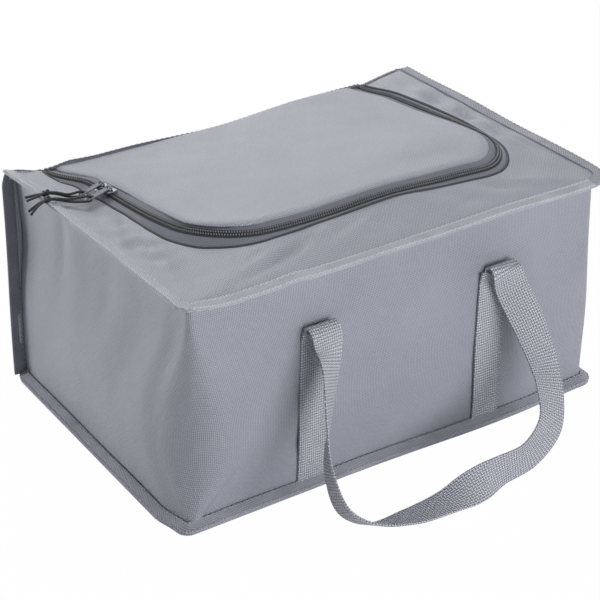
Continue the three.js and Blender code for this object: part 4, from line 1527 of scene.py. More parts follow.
    def make_frame(self) -> None:
        """The top frame: a ruled surface from rim to zip, slack between, with its edge rolled under."""
        outer, inner = self.frame_edges()
        share = np.concatenate([np.linspace(0, self.FLAT_SHARE, self.frame_rows), self.ROLL[:, 0]])
        rise = np.where(share < self.FLAT_SHARE, share ** self.rise_power, share)
        flat = outer[:, None] + (inner - outer)[:, None] * share[None, :, None]
        flat[..., 2] = outer[:, None, 2] + (inner - outer)[:, None, 2] * rise[None]
        slack = np.sin(math.pi * share)[None]
        run = run_length(outer)[:, None]
        x, y = flat[..., 0], flat[..., 1]
        folds = swells(x, y, self.FOLDS) + MM * ripples(run + 0 * x, share[None] * 0.08 + 0 * x, 5, 0.07)
        folds = folds + np.sin((y + 0.2 * x) / self.left_gather) * swells(x, y, self.LEFT_GATHERS)
        folds = folds + np.sin((y - 0.4 * x) / self.right_gather) * swells(x, y, self.RIGHT_GATHERS)
        flat[..., 2] += slack * (self.fold_gain * folds - self.frame_sag)
        flat[:, self.frame_rows:, 2] -= self.ROLL[:, 1] * MM
        cut = flat[..., :2].copy()
        skin = Skin().add_grid(flat, cut, inside=BAG_MIDDLE)
        stands_for = ("top_frame", "top_frame_foam")
        skin.build("top_frame_cloth", CLOTH, "bag", "cloth", stands_for, CLOTH_THICK, 0.4)
        under = flat[:, : self.frame_rows].copy()
        hang = np.sin(math.pi * np.clip(share[: self.frame_rows], 0.02, 0.98)) ** 0.5
        under[..., 2] -= (self.film_sag * hang + self.film_gap)[None] * MM
        lining = Skin().add_grid(under, cut[:, : self.frame_rows], inside=OVER_BAG)
        lining.build("frame_lining_film", FOIL, "bag", "foil", ("top_frame_lining",), FILM_THICK)
        # A near-black tube along the inner edge: its colour is painted shade in the crease where the frame
        # meets the zip tape.
        shade_tube = Skin()
        add_tube(shade_tube, inner - (0.0, 0.0, self.shade_tube_drop), self.shade_tube_radius, 8)
        shade_tube.build("frame_edge_shade_tube", EDGE_TUBE_PAINTED_SHADE, "bag", "cloth")


def base_loop(form: BagForm) -> Path:
    """The walls' line at the floor: a closed rectangle with round corners, from the back's middle."""
    radii = (form.back_corner, 0.4 * form.near_corner, form.foot_far_corner, form.back_corner)
    stations = (56, 76, 112, 76, 56)
    loop = closed_path(form.half_x, form.front, form.back, radii, stations, CORNER_STATIONS)
    at_front = ease(0.0, form.bow_ramp, form.front + form.bow_band - loop.points[:, 1])
    at_left = ease(0.0, form.bow_ramp, form.bow_band - form.half_x - loop.points[:, 0])
    bow = form.foot_bulge(loop.points[:, 0]) * at_front
    left_bow = form.left_foot_bulge(loop.points[:, 1]) * at_left
    return Path(loop.points - np.stack([left_bow, bow], 1), loop.out)


@dataclass(frozen=True)
class Bindings:
    """The taped seams: round the base, round the rim, up the back corners and along the hinge."""

    form: BagForm
    thick: float = 3.2 * MM
    top_width: float = 6.0 * MM
    back_corner: float = 8.0 * MM
    flange_lean: float = 1.25
    base_tilt: float = 0.5
    lump_rise: float = 1.5 * MM
    lump_reach: float = 12 * MM
    lump_offset: float = 6 * MM
    back_stations: tuple[int, int] = (60, 22)
    back_lean: float = 1.9
    back_sway: float = 0.8 * MM
    sway_length: float = 30 * MM
    crest_drop: float = 0.8 * MM
    zip_gap: float = 0.8 * MM
    hinge_stations: int = 96
    hinge_overlap: float = 1.5 * MM
    hinge_lift: float = 0.4 * MM
    hinge_droop: float = 0.7
    hinge_start: float = 0.15

    # How far the rim's tape tips over, in radians: at its start, then each change with the run at
    # which it begins and ends, in metres past the near corner, then waves and their lengths.
    RIM_TIP = 0.3
    RIM_TURNS = ((-0.46, -0.02, 0.02), (0.22, 0.39, 0.45))
    RIM_WAVES = ((0.07, 0.06), (0.05, 0.023))

    def build(self) -> None:
        """Sews the seams from the floor up."""
        form = self.form
        self.bind_base()
        self.bind_rim()
        self.bind_back(-1.0, form.zip_left - form.left_bend - self.zip_gap, "back_binding_left")
        self.bind_back(1.0, form.zip_right - form.right_bend + self.zip_gap, "back_binding_right")
        self.bind_hinge()

    def sew(
        self,
        seam: BoundSeam,
        name: str,
        node: str,
        body: str,
        finish: Finish,
        thread: Finish,
        faces: Sequence[float],
    ) -> None:
        """Makes a seam's tape and the stitches on its faces."""
        tape = Skin()
        seam.add_tape(tape)
        tape.build(name + "_tape", finish, body, "binding", (node,))
        stitches = Skin()
        for face in faces:
            seam.add_seam(stitches, face)
        stitches.build(name + "_stitches", thread, body, "binding")

    def bind_base(self) -> None:
        """The base seam, all round the foot, tilted down to the floor and lifted here and there."""
        form = self.form
        path = base_loop(form)
        plan, out = path.points[:-1], path.out[:-1]
        run = run_length(path.points)[:-1]
        whole = run_length(path.points)[-1]
        lift = 0.35 * MM * (1 + np.sin(run / whole * 2 * math.pi * 11))
        down, away = math.sin(self.base_tilt), math.cos(self.base_tilt)
        centres = on_level(plan, self.thick / 2 + lift + form.flange * down)
        up = level(out * down) + (0.0, 0.0, away)
        seam = BoundSeam(centres, level(out * away) - (0.0, 0.0, down), up, form.flange, self.thick, True)
        # The base tape and thread are the darker copies: painted shade low on the bag.
        self.sew(seam, "base_seam", "base_binding", "bag", TAPE_PAINTED_SHADE, BASE_THREAD, (1.0,))

    def bind_rim(self) -> None:
        """The rim seam, along both sides and the front, with a lump where the tape's ends overlap."""
        form = self.form
        path = form.rim_path(form.near_corner, form.far_corner)
        run = run_length(path.points)
        corner = form.back_end - form.front
        lump = self.lump_rise * hump(corner + self.lump_offset, self.lump_reach, run)
        centres = on_level(path.points, form.rim + form.rim_wave(run) + lump)
        tip = np.full_like(run, self.RIM_TIP)
        for change, begin, end in self.RIM_TURNS:
            tip = tip + change * ease(corner + begin, corner + end, run)
        for high, length in self.RIM_WAVES:
            tip = tip + high * np.sin(run / length)
        up = level(-path.out * np.sin(tip)[:, None]) + np.cos(tip)[:, None] * np.array([0.0, 0.0, 1.0])
        out = level(path.out * np.cos(tip)[:, None]) + np.sin(tip)[:, None] * np.array([0.0, 0.0, 1.0])
        turn = int(np.searchsorted(run, form.run_at(Side.FRONT, form.half_x - form.far_corner)))
        near, far = slice(None, turn + 1), slice(turn, None)
        # The front and left stretch gets the lighter tape and thread as painted light; past the far corner
        # the darker copies are painted shade on the same seam.
        for part, name, finish, thread in (
            (near, "rim_seam", RIM_TAPE_PAINTED_LIGHT, THREAD_PAINTED_LIGHT),
            (far, "rim_seam_right", TAPE_PAINTED_SHADE, BASE_THREAD),
        ):
            seam = BoundSeam(centres[part], out[part], up[part], form.flange, self.thick)
            self.sew(seam, name, "top_binding", "bag", finish, thread, (1.0,))

    def bind_back(self, side: float, end: float, node: str) -> None:
        """A back seam: up a back corner, round it and in along the top to the zip's end.

        Args:
            side: minus one for the left corner and one for the right.
            end: where it stops along the top.
            node: the solid that it stands for.
        """
        form = self.form
        top = form.hinge_z + 0.2 * MM
        corners = (
            (form.half_x, form.foot + 0.4 * MM, 0.0),
            (form.half_x, top, self.back_corner),
            (side * end, top, 0.0),
        )
        path = turned_path(corners, self.back_stations, CORNER_STATIONS)
        plan, out = path.points * (side, 1), path.out * (side, 1)
        turned = ease(0.3, 0.9, out[:, 1])
        width = form.flange + (self.top_width - form.flange) * turned
        run = run_length(plan)
        sway = self.back_sway * np.sin(run / self.sway_length) * (1 - turned)
        depth = form.back - 0.5 * MM + sway
        crest = form.back_crest(plan[:, 0]) - self.crest_drop
        height = plan[:, 1] + (crest - plan[:, 1]) * turned
        centres = np.stack([plan[:, 0], depth, height], 1)
        lean = self.back_lean * turned
        away = np.stack([out[:, 0], out[:, 1] * np.sin(lean), out[:, 1] * np.cos(lean)], 1)
        up = np.stack([0 * run, np.cos(lean), -np.sin(lean)], 1)
        seam = BoundSeam(centres, unit(away), up, width, self.thick)
        name = "back_seam_left" if side < 0 else "back_seam_right"
        # Darker tape and thread: painted shade on the back corner seams.
        self.sew(seam, name, node, "bag", BACK_TAPE_PAINTED_SHADE, THREAD_PAINTED_SHADE, (1.0, -1.0))

    def bind_hinge(self) -> None:
        """The hinge seam: a narrow taped flange along the lid's back edge, sunk with it."""
        form = self.form
        low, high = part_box("lid_binding")
        x = np.linspace(low.x - self.hinge_overlap, high.x + self.hinge_overlap, self.hinge_stations)
        height = form.back_crest(x) + self.hinge_lift
        centres = np.stack([x, np.full_like(x, (low.y + high.y) / 2), height], 1)
        lean = self.flange_lean - self.hinge_droop * (1 - ease(-0.03, 0.06, x))
        out = np.stack([0 * x, np.sin(lean), np.cos(lean)], 1)
        up = np.stack([0 * x, np.cos(lean), -np.sin(lean)], 1)
        widening = self.hinge_start + (1 - self.hinge_start) * ease(low.x, low.x + 0.03, x)
        width = self.top_width * widening * (1 - 0.6 * ease(-0.1, 0.0, x))
        seam = BoundSeam(centres, out, up, width, self.thick)
        # Darker tape and thread: painted shade on the hinge flange.
        self.sew(seam, "hinge_seam", "lid_binding", "lid", HINGE_TAPE_PAINTED_SHADE, THREAD_PAINTED_SHADE, (1.0, -1.0))


@dataclass(frozen=True)
class Zip:
    """The zip round the lid: two tapes, and a coil of interlocked nylon turns on each."""

    form: BagForm
    lid_tape: float = 11.5 * MM
    seam_overlap: float = 1.6 * MM
    pitch: float = 2.3 * MM
    turn_start: float = 0.6 * MM
    turn_length: float = 1.5 * MM
    turn_width: float = 1.4 * MM
    turn_height: float = 1.6 * MM
    turn_middle: float = 1.9 * MM
    bed: float = 3.6 * MM
    bed_start: float = 0.1 * MM
    bed_height: float = 1.4 * MM
    bed_thick: float = 0.3 * MM
    tape_columns: int = 8
    tape_rise: float = 0.6 * MM
    tape_bow: float = 0.4 * MM
    tape_thick: float = 0.6 * MM
    coil_stop: float = 2 * MM
    bag_step: float = 0.25
    lid_step: float = 0.75

    def build(self) -> None:
        """Makes both halves."""
        self.make_half(Half.BAG, "bag", "zip_tape_body", "zip_coil_body")
        self.make_half(Half.LID, "lid", "zip_tape_lid", "zip_coil_lid")

    def make_half(self, half: Half, body: str, tape_node: str, coil_node: str) -> None:
        """One tape and its coil.

        The tape is a ruled strip beside the coil. The coil is a row of plump turns across the zip,
        out of step with the other half's, on a near-black strip that is painted shade under the turns.

        Args:
            half: which half, and so on which side of the middle line it lies.
            body: the body that carries it.
            tape_node: the tape's solid.
            coil_node: the coil's solid.
        """
        form = self.form
        path = form.zip_path()
        run = run_length(path.points)
        side = half.value
        share = np.linspace(0, 1, self.tape_columns)[None]
        shown = form.band_width(run) + self.seam_overlap
        wide = shown if half is Half.BAG else np.full_like(shown, self.lid_tape)
        reach = ZIP_GROOVE + (wide[:, None] - ZIP_GROOVE) * share
        bow = self.tape_rise * (1 - ease(0.85, 1.0, share)) + self.tape_bow * np.sin(math.pi * share)
        cut = np.stack(np.broadcast_arrays(run[:, None], reach), -1)
        tape = Skin().add_grid(form.on_band(path, side * reach, bow), cut, inside=BAG_MIDDLE)
        # The lid's half gets the darker copy of the tape: painted shade under the lid's rolled edge.
        finish = ZIP_CLOTH if half is Half.BAG else LID_ZIP_TAPE_PAINTED_SHADE
        tape.build(tape_node + "_cloth", finish, body, "zip_tape", (tape_node,), self.tape_thick)
        # The near-black bed under the turns is painted shade between and beside them.
        bed_cut = flat_places(run, np.linspace(self.bed_start, self.bed, 4))
        bed_grid = form.on_band(path, side * bed_cut[..., 1], self.bed_height)
        bed = Skin().add_grid(bed_grid, bed_cut, inside=BAG_MIDDLE)
        bed.build(coil_node + "_bed", COIL_BED_PAINTED_SHADE, body, "coil", (), self.bed_thick)
        step = self.bag_step if half is Half.BAG else self.lid_step
        spots = np.arange(self.pitch, run[-1] - self.coil_stop, self.pitch) + self.pitch * step
        ends = np.array([[self.turn_start, self.turn_start + self.turn_length]]) * side
        line = form.on_band(path, np.repeat(ends, len(run), 0), self.turn_middle)
        inner, outer = (read_along(spots, run, line[:, end]) for end in (0, 1))
        across = outer - inner
        along = unit(read_along(spots + MM, run, line[:, 0]) - inner) * self.turn_width
        square = unit(np.cross(along, across)) * self.turn_height
        coil = Skin()
        coil.add_copies(thread_shape(), (inner + outer) / 2, np.stack([across, along, square], 1))
        coil.build(coil_node + "_turns", COIL, body, "coil", (coil_node,))


@dataclass(frozen=True)
class Lid:
    """The lid: a padded cloth panel with a rounded shoulder, lined with film, inside the zip."""

    form: BagForm
    edge: float = 9.5 * MM
    shoulder: float = 9.0 * MM
    loft: float = 3.2 * MM
    crown: float = 4.5 * MM
    film_share: float = 0.97
    film_depth: float = 5.0 * MM
    film_gap: float = 1.2 * MM
    first_even_column: float = 17 * MM
    lift: float = 0.6 * MM
    edge_reach: float = 35 * MM
    crown_reach: float = 45 * MM
    crown_fall: float = 0.6
    slack_reach: float = 50 * MM
    hinge_reach: float = 30 * MM

    # Columns close to the sewn edge, where the shoulder bends, in millimetres from it.
    EDGE_COLUMNS = np.array([0.0, 0.4, 1.0, 1.8, 2.8, 4.0, 5.5, 7.5, 10.0, 13.0])

    # Slack in the lid's cloth, as swells() reads it: a dent and a fold, both slanted.
    SLACK = ((-2.0, -20, 70, 0.7, 20, 100), (1.2, 60, 30, 0.7, -20, 80))

    # Its unevenness, as ripples() reads it: height in millimetres, seed and wavelength in metres.
    UNEVEN = ((0.9, 11, 0.16), (0.35, 12, 0.05))

    def build(self) -> None:
        """Makes the padded top and the film under it, which stops short of the top's sewn edge."""
        x, y = self.plan()
        inset = self.inset(x, y)
        grid = self.form.on_zip_plane(x, y, self.height(x, y, inset))
        cut = np.stack([x, y], -1)
        top = Skin().add_grid(grid, cut, inside=BAG_MIDDLE)
        top.build("lid_cloth", CLOTH, "lid", "cloth", ("lid_panel", "lid_foam"), CLOTH_THICK, 0.4)
        depth = self.edge_rise(x, y) * (1 - ease(0.0, self.edge_reach, inset))
        depth = depth - self.film_depth * ease(0.0, 0.02, inset)
        depth = depth + 0.5 * MM * ripples(x, y, 23, 0.03) * ease(0.0, 0.03, inset) - self.film_gap
        middle = x.mean(1, keepdims=True)
        film_x = middle + self.film_share * (x - middle)
        film_y = self.form.hinge_y + self.film_share * (y - self.form.hinge_y)
        under = Skin().add_grid(self.form.on_zip_plane(film_x, film_y, depth), cut, inside=OVER_BAG)
        under.build("lid_lining_film", FOIL, "lid", "foil", ("lid_lining",), FILM_THICK)

    def plan(self) -> tuple[Array, Array]:
        """The lid's outline filled with a grid: a share of the half width, at each depth.

        The half width is full along the sides. In the front corners it follows the round edge,
        with rows spaced by equal steps round the corner.
        """
        form = self.form
        radius = form.zip_radius - self.edge
        front = form.zip_front + self.edge
        turn = np.linspace(0, math.pi / 2, 30)[1:]
        straight = np.linspace(form.hinge_y - 2.6 * MM, front + radius, 56)
        y = np.concatenate([straight, front + radius - radius * np.sin(turn)])[:, None]
        drawn_in = np.concatenate([np.zeros(len(straight)), radius * (1 - np.cos(turn))])[:, None]
        half = (form.zip_right - form.zip_left) / 2 - self.edge
        rest = np.linspace(self.first_even_column, half, 36)
        share = 1 - np.concatenate([self.EDGE_COLUMNS * MM, rest]) / half
        share = np.concatenate([share, -share[-2::-1]])[None]
        left, right = self.sides(y)
        x = (left + right) / 2 - share * ((right - left) / 2 - drawn_in)
        return x, np.broadcast_to(y, x.shape)

    def sides(self, y: Array) -> tuple[Array, Array]:
        """The lid's left and right sewn edges at each depth, bent as the zip's legs are."""
        form = self.form
        left = form.zip_left + self.edge - form.leg_bend(np.full_like(y, -1.0), y)
        right = form.zip_right - self.edge - form.leg_bend(np.full_like(y, 1.0), y)
        return left, right

    def inset(self, x: Array, y: Array) -> Array:
        """How far a place lies inside the lid's sewn edge, measured square to it."""
        form = self.form
        radius = form.zip_radius - self.edge
        left, right = self.sides(np.asarray(y))
        aside = radius - np.minimum(x - left, right - x)
        ahead = form.zip_front + self.edge + radius - y
        corner = np.hypot(np.maximum(aside, 0.0), np.maximum(ahead, 0.0))
        return np.where((aside > 0) & (ahead > 0), radius - corner, radius - np.maximum(aside, ahead))

    def height(self, x: Array, y: Array, inset: Array) -> Array:
        """The padded top's height: a quarter-round shoulder, then slack cloth over foam."""
        near = np.clip(inset / self.shoulder, 0.0, 1.0)
        rounded = np.sqrt(np.maximum(0.0, 1 - (1 - near) ** 2))
        away = ease(0.0, self.slack_reach, inset)
        back = ease(0.0, self.hinge_reach, self.form.hinge_y - y)
        slack = sum(high * ripples(x, y, seed, wave) for high, seed, wave in self.UNEVEN) * MM
        slack = slack + swells(x, y, self.SLACK)
        crown = self.crown * (1 - self.crown_fall * ease(-0.03, 0.07, y))
        raised = self.edge_rise(x, y) * (1 - ease(0.0, self.edge_reach, inset))
        raised = raised + crown * ease(0.0, self.crown_reach, inset)
        return self.lift + self.loft * rounded + raised + slack * away * back

    def edge_rise(self, x: Array, y: Array) -> Array:
        """How high the leaning band lifts the lid's edge, at the nearest station of the zip."""
        path = self.form.zip_path()
        gap = np.hypot(x[..., None] - path.points[:, 0], y[..., None] - path.points[:, 1])
        lean = self.form.band_lean(run_length(path.points), Half.LID)[gap.argmin(-1)]
        return self.edge * np.sin(lean)


def add_slab(
    skin: Skin, outline: Array, levels: Sequence[tuple[float, float]], placed: Callable[[Array], Array]
) -> None:
    """A plate with eased edges: its outline at each level, drawn in by an amount.

    Args:
        skin: gets the plate.
        outline: the plate's edge, n by 2.
        levels: heights through the plate, each with how far its edge is drawn in, in millimetres.
        placed: turns places on the plate into the bag's frame.
    """
    middle = outline.mean(0)
    half = np.abs(outline - middle).max(0)
    shares = [(height * MM, 1 - drawn * MM / half) for height, drawn in levels]
    rows = [on_level(middle + (outline - middle) * share, height) for height, share in shares]
    cut = flat_places(np.arange(len(rows)) * MM, np.arange(len(outline) + 1) * MM)
    skin.add_grid(placed(np.stack(rows)), cut, round_v=True, capped=True)


@dataclass(frozen=True)
class SliderSet:
    """A die-cast slider that saddles the coil, with a bridge for the pull, and the pull itself."""

    form: BagForm
    which: str
    length: float = 13.0 * MM
    width: float = 11.0 * MM
    eye_height: float = 7.05 * MM
    bridge_half: float = 4.6 * MM
    bridge_foot: float = 4.6 * MM
    bridge_rise: float = 3.6 * MM
    bridge_radius: float = 0.85 * MM
    pull_length: float = 24.0 * MM
    pull_width: float = 6.5 * MM
    wire_radius: float = 0.8 * MM
    bar_start: float = 2.5 * MM
    bar_end: float = 16.5 * MM
    waist: float = 0.22
    lip_share: tuple[float, float] = (0.8, 0.11)
    lip_inset: float = 0.7 * MM
    arch_power: float = 0.6
    ring_reach: float = 1.0 * MM
    ring_start: float = 1.2 * MM
    plate_stations: int = 40
    bridge_stations: int = 24
    pull_stations: int = 48

    # How square each oval is, along and across, as squared_oval() reads it.
    PLATE_POWERS = (0.45, 0.5)
    RING_POWERS = (0.55, 0.55)
    BAR_POWERS = (0.4, 0.4)

    # Plates as add_slab() reads them: heights over the zip, or about the pull's middle for its bar.
    TOP_PLATE = ((3.6, 0.45), (3.9, 0.0), (4.5, 0.0), (5.0, 0.9))
    LOW_PLATE = ((-1.0, 0.45), (-0.7, 0.0), (-0.2, 0.0), (0.1, 0.45))
    LIP = ((2.2, 0.2), (2.6, 0.0), (3.4, 0.0), (4.0, 0.1))
    BAR = ((-0.45, 0.25), (-0.25, 0.0), (0.25, 0.0), (0.45, 0.25))

    def build(self) -> None:
        """Makes the slider on its own body and the pull on its own."""
        self.make_slider()
        self.make_pull()

    def on_slider(self, local: Array) -> Array:
        """Turns places along the zip, across it and above its plane into the bag's frame."""
        across = np.array([1.0, 0.0, 0.0])
        above = local[..., 2:] - self.eye_height
        flat = local[..., :1] * self.form.slope + local[..., 1:2] * across
        return eye_of(self.which) + flat + above * self.form.square

    def make_slider(self) -> None:
        """Two waisted plates, side lips between them and a bridge over the top."""
        lean = 1.0 if self.which == "back" else -1.0
        rounded = squared_oval(self.plate_stations, (self.length, self.width), self.PLATE_POWERS)
        waist = 1 - self.waist * ease(-0.2, 1.0, -lean * rounded[:, 0] / (self.length / 2))
        outline = rounded * np.stack([np.ones_like(waist), waist], 1)
        skin = Skin()
        for plate in (self.TOP_PLATE, self.LOW_PLATE):
            add_slab(skin, outline, plate, self.on_slider)
        for side in (-1.0, 1.0):
            lip = rounded * self.lip_share + (0.0, side * (self.width / 2 - self.lip_inset))
            add_slab(skin, lip, self.LIP, self.on_slider)
        turn = np.linspace(0, math.pi, self.bridge_stations)
        height = self.bridge_foot + np.sin(turn) ** self.arch_power * self.bridge_rise
        bridge = np.stack([np.cos(turn) * self.bridge_half, 0 * turn, height], 1)
        add_tube(skin, self.on_slider(bridge), self.bridge_radius, 8)
        name = "slider_" + self.which
        skin.build(name + "_casting", METAL, name, "metal", (name,))

    def make_pull(self) -> None:
        """A long flat pull: a ring of rounded wire that goes round the bridge, and a bar inside it."""
        cords = PullCords(self.form, self.which, 0.0, 0.0)
        skin = Skin()
        ring_size = (self.pull_length + self.ring_reach, self.pull_width - 2 * self.wire_radius)
        ring = squared_oval(self.pull_stations, ring_size, self.RING_POWERS)
        ring = ring + (ring_size[0] / 2 - self.ring_start, 0.0)
        add_tube(skin, cords.on_pull(on_level(ring, 0.0)), self.wire_radius, 8, True)
        bar_size = (self.bar_end - self.bar_start, self.pull_width - 2 * self.wire_radius)
        bar = squared_oval(self.pull_stations, bar_size, self.BAR_POWERS)
        bar = bar + ((self.bar_start + self.bar_end) / 2, 0.0)
        add_slab(skin, bar, self.BAR, cords.on_pull)
        name = "pull_" + self.which
        skin.build(name + "_tab", METAL, name, "metal", (name,))


@dataclass(frozen=True)
class Handle:
    """A webbing handle: two legs sewn up the wall and a loop that folds over and hangs from them."""

    form: BagForm
    front: bool
    width: float = 30.0 * MM
    thick: float = 2.0 * MM
    leg_stand: float = 0.65
    stitch_stand: float = 1.17
    stitch_row: float = 12.4 * MM
    left_leg: float = -92.0 * MM
    right_leg: float = 100.0 * MM
    fold_out: float = 3.6 * MM
    fold_height: float = 155.0 * MM
    bend_start: float = 3.0 * MM
    bend_end: float = 22.0 * MM

    # A leg's stitches: length, pitch and girth.
    STITCH = (3.2 * MM, 4.0 * MM, 0.6 * MM)

    # Where the loop folds over: out and up from the leg's top, in millimetres.
    FOLD = ((0, 0), (1.5, 4.4), (6, 6.0), (11.5, 2.2))

    # How far each leg stands off its place at its foot and at its top, in millimetres.
    LEG_SHIFT = {"left": (-2.5, -1.5), "right": (-7.0, -4.5)}

    # Middle of the loop: along the bag, out from the wall and up, then the way its width points.
    LOOP = (
        (-92, 20, 141, 0.90, 0.06, -0.44), (-96, 28, 126, 0.78, 0.37, -0.51),
        (-108, 43, 90, 0.55, 0.61, -0.57), (-118, 58, 57, 0.31, 0.80, -0.51),
        (-116, 79, 24.5, 0.11, 0.81, -0.58), (-96, 92, 11.5, 0.22, 0.78, -0.59),
        (-61, 96, 7, 0.49, 0.85, -0.18), (-19, 96.5, 7.5, 0.34, 0.94, 0.03),
        (9, 97, 12.5, 0.0, 0.75, 0.66), (36, 96, 17, -0.46, 0.11, 0.88),
        (69, 97, 23, -0.63, 0.04, 0.77), (95, 91, 40, -0.71, 0.17, 0.68),
        (111, 72, 56, -0.86, 0.24, 0.44), (120, 50, 75, -0.99, 0.13, 0.10),
        (118, 30, 104, -0.91, 0.25, -0.32), (107, 16, 138, -0.80, 0.39, -0.46),
    )

    @property
    def side(self) -> float:
        """Minus one on the front wall and one on the back, which has the same handle turned round."""
        return -1.0 if self.front else 1.0

    @property
    def word(self) -> str:
        """The name of the wall that it is on."""
        return "front" if self.front else "back"

    def build(self) -> None:
        """Makes the legs with their sewing, then the loop."""
        for node, x in (("left", self.left_leg), ("right", self.right_leg)):
            self.make_leg(node, x)
        self.make_loop()

    def section(self) -> Array:
        """The webbing in section: flat faces between two round edges."""
        edge = self.thick / 2
        turn = np.linspace(-math.pi / 2, math.pi / 2, 6)
        right = np.stack([self.width / 2 - edge + edge * np.cos(turn), edge * np.sin(turn)], 1)
        inner = np.linspace(0.8, -0.8, 7)[:, None] * (self.width / 2)
        top = np.concatenate([inner, np.full_like(inner, edge)], 1)
        upper = np.concatenate([right, top])
        return np.concatenate([upper, -upper])

    def webbing(self, centres: Array, across: Array, square: Array) -> Skin:
        """The section carried along a line, with its width across and its thickness square to it."""
        section = self.section()
        grid = sweep(centres, across, square, section)
        return Skin().add_grid(grid, swept_cut(centres, section), round_v=True, capped=True)

    def on_wall(self, x: Array, out: Array, height: Array) -> Array:
        """Places over this handle's wall: turned half round for the back one."""
        if self.front:
            return self.form.front_skin(x, height, out)
        return self.form.back_skin(-np.asarray(x), height, out)

    def make_leg(self, node: str, x: float) -> None:
        """A leg: webbing up the wall that leaves it at its top, where the loop starts, and its stitches."""
        form = self.form
        base = form.foot + 0.6 * MM
        up = np.linspace(base, self.fold_height + 0.5 * MM, 70)
        flat = self.thick * self.leg_stand
        out = flat + (self.fold_out - flat) * ease(0.93, 1.0, up / self.fold_height)
        foot_shift, top_shift = self.LEG_SHIFT[node]
        place = x + (foot_shift + (top_shift - foot_shift) * up / self.fold_height) * MM
        centres = self.on_wall(place, out, up)
        across = np.broadcast_to((-self.side, 0.0, 0.0), centres.shape)
        forward = unit(np.gradient(centres, axis=0))
        name = f"{self.word}_handle_leg_{node}"
        skin = self.webbing(centres, across, unit(np.cross(forward, across)))
        skin.build(name + "_webbing", WEBBING, "bag", "webbing", (name,))
        stitches = Skin()
        normal = np.broadcast_to((0.0, self.side, 0.0), (60, 3))
        rows = np.linspace(base + 4 * MM, self.fold_height - 12 * MM, 60)
        middle = np.interp(rows, up, place)
        for edge in (-self.stitch_row, self.stitch_row):
            line = self.on_wall(middle + edge, self.thick * self.stitch_stand, rows)
            add_stitches(stitches, line, normal, *self.STITCH)
        stitches.build(name + "_stitches", BASE_THREAD, "bag", "webbing")

    def loop_line(self) -> tuple[Array, Array]:
        """The loop's middle line and the way its width points along it."""
        low, high = self.fold_out / MM, self.fold_height / MM
        fold = [(low + out, high + up) for out, up in self.FOLD]
        start = [(self.left_leg / MM, out, up, 1, 0, 0) for out, up in fold]
        end = [(self.right_leg / MM, out, up, -1, 0, 0) for out, up in reversed(fold)]
        rows = np.array([*start, *self.LOOP, *end], float)
        centres = flowing_line(rows[:, :3] * MM, 14)
        spots = np.linspace(0, len(rows) - 1, len(centres))
        knots = np.arange(len(rows))
        smooth = read_along(spots, knots, rows[:, 3:])
        kernel = hump(0, 6.0, np.arange(-12, 13))
        padded = np.pad(smooth, ((12, 12), (0, 0)), mode="edge")
        wide = np.stack([np.convolve(padded[:, k], kernel / kernel.sum(), "valid") for k in range(3)], 1)
        return centres, wide

    def make_loop(self) -> None:
        """The loop: the webbing's section carried along its line, with the width square to it."""
        centres, wide = self.loop_line()
        centres = centres * (1.0, -1.0, 1.0) + (0.0, self.form.front, 0.0)
        if not self.front:
            centres = centres * (-1.0, -1.0, 1.0)
            wide = wide * (-1.0, -1.0, 1.0)
        forward = unit(np.gradient(centres, axis=0))
        across = unit(wide - (wide * forward).sum(1, keepdims=True) * forward)
        skin = self.webbing(centres, across, np.cross(forward, across))
        body = self.word + "_handle"
        hinge = np.array([0.0, -self.side * self.form.front, self.fold_height])
        outwards = np.array([0.0, self.side, 0.0])
        fold = (hinge + self.bend_start * outwards, hinge + self.bend_end * outwards)
        skin.build(body + "_loop_webbing", WEBBING, body, "webbing", (body + "_loop",), fold=fold)


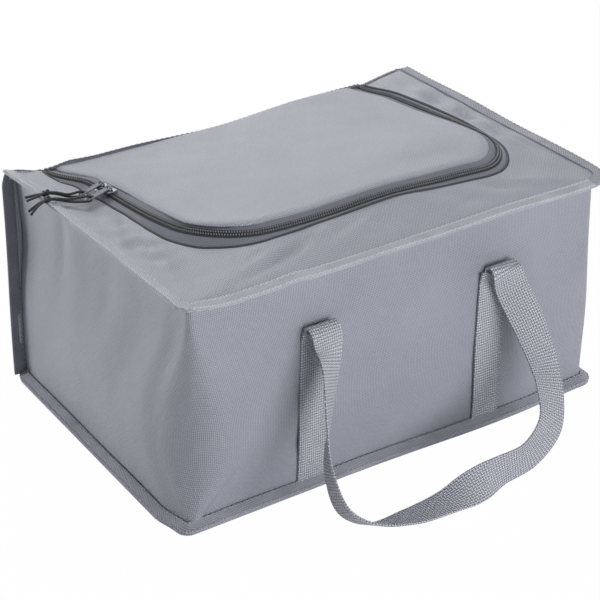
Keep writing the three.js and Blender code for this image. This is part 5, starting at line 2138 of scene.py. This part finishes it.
@dataclass(frozen=True)
class Lining:
    """The tub of metallised film that keeps the heat in, over the foam and the base board."""

    form: BagForm
    wall: float = 8.5 * MM
    floor: float = 9.6 * MM
    corner: float = 46.0 * MM
    foot_round: float = 8.0 * MM
    crinkle: float = 0.7 * MM
    crinkle_seed: int = 31
    crinkle_wave: float = 0.05
    wall_rows: int = 30
    corner_stations: int = 10
    stations: tuple[int, ...] = (40, 56, 80, 56, 40)

    # Rings of the floor, as shares of the wall's foot.
    FLOOR_RINGS = (0.97, 0.9, 0.75, 0.55, 0.35, 0.15, 0.02)

    def build(self) -> None:
        """A tub: rings down the walls, round the foot and in over the floor, crinkled all over."""
        form = self.form
        inner_x, inner_y = form.half_x - self.wall, form.back - self.wall
        radii = (self.corner,) * 4
        path = closed_path(inner_x, -inner_y, inner_y, radii, self.stations, self.corner_stations)
        plan, out = path.points[:-1], path.out[:-1]
        run = run_length(path.points)
        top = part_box("lining_tub")[1].z
        down = np.linspace(top, self.floor + self.foot_round, self.wall_rows)
        turn = np.linspace(0, math.pi / 2, 7)[1:]
        round_in = self.foot_round * (1 - np.cos(turn))
        round_z = self.floor + self.foot_round * (1 - np.sin(turn))
        walls = np.stack([on_level(plan, z) for z in [*down, *round_z]], 1)
        drawn = np.concatenate([np.zeros(len(down)), round_in])
        walls[..., :2] -= out[:, None] * drawn[None, :, None]
        creased = ripples(run[:-1, None], walls[..., 2], self.crinkle_seed, self.crinkle_wave)
        walls[..., :2] -= out[:, None] * np.abs(self.crinkle * creased)[..., None]
        foot = walls[:, -1, :2]
        floor = np.stack([on_level(foot * share, self.floor) for share in self.FLOOR_RINGS], 1)
        grid = np.concatenate([walls, floor], 1)
        cut = flat_places(run, run_length(grid[0]))
        skin = Skin().add_grid(grid, cut, round_u=True, inside=FAR_OVER_BAG)
        tub = skin.build("lining_film", FOIL, "bag", "foil", ("lining_tub", "base_foam"), FILM_THICK)
        board = frame["nodes"]["base_board"]
        board.data.materials.clear()
        board.data.materials.append(BOARD.make())
        LOG.info("%s is over the base board", tub.name)


def main() -> None:
    """Builds the picture and the bag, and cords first."""
    logging.basicConfig(level=logging.INFO, format="%(message)s")
    form = BagForm.read()
    Studio().build()
    PullCords(form, "back", 50 * MM, 0.5 * MM).build()
    PullCords(form, "front", 56 * MM, 8 * MM).build()
    Shell(form).build()
    Bindings(form).build()
    Zip(form).build()
    Lid(form).build()
    SliderSet(form, "back").build()
    SliderSet(form, "front").build()
    Handle(form, True).build()
    Handle(form, False).build()
    Lining(form).build()


if __name__ == "__main__":
    main()
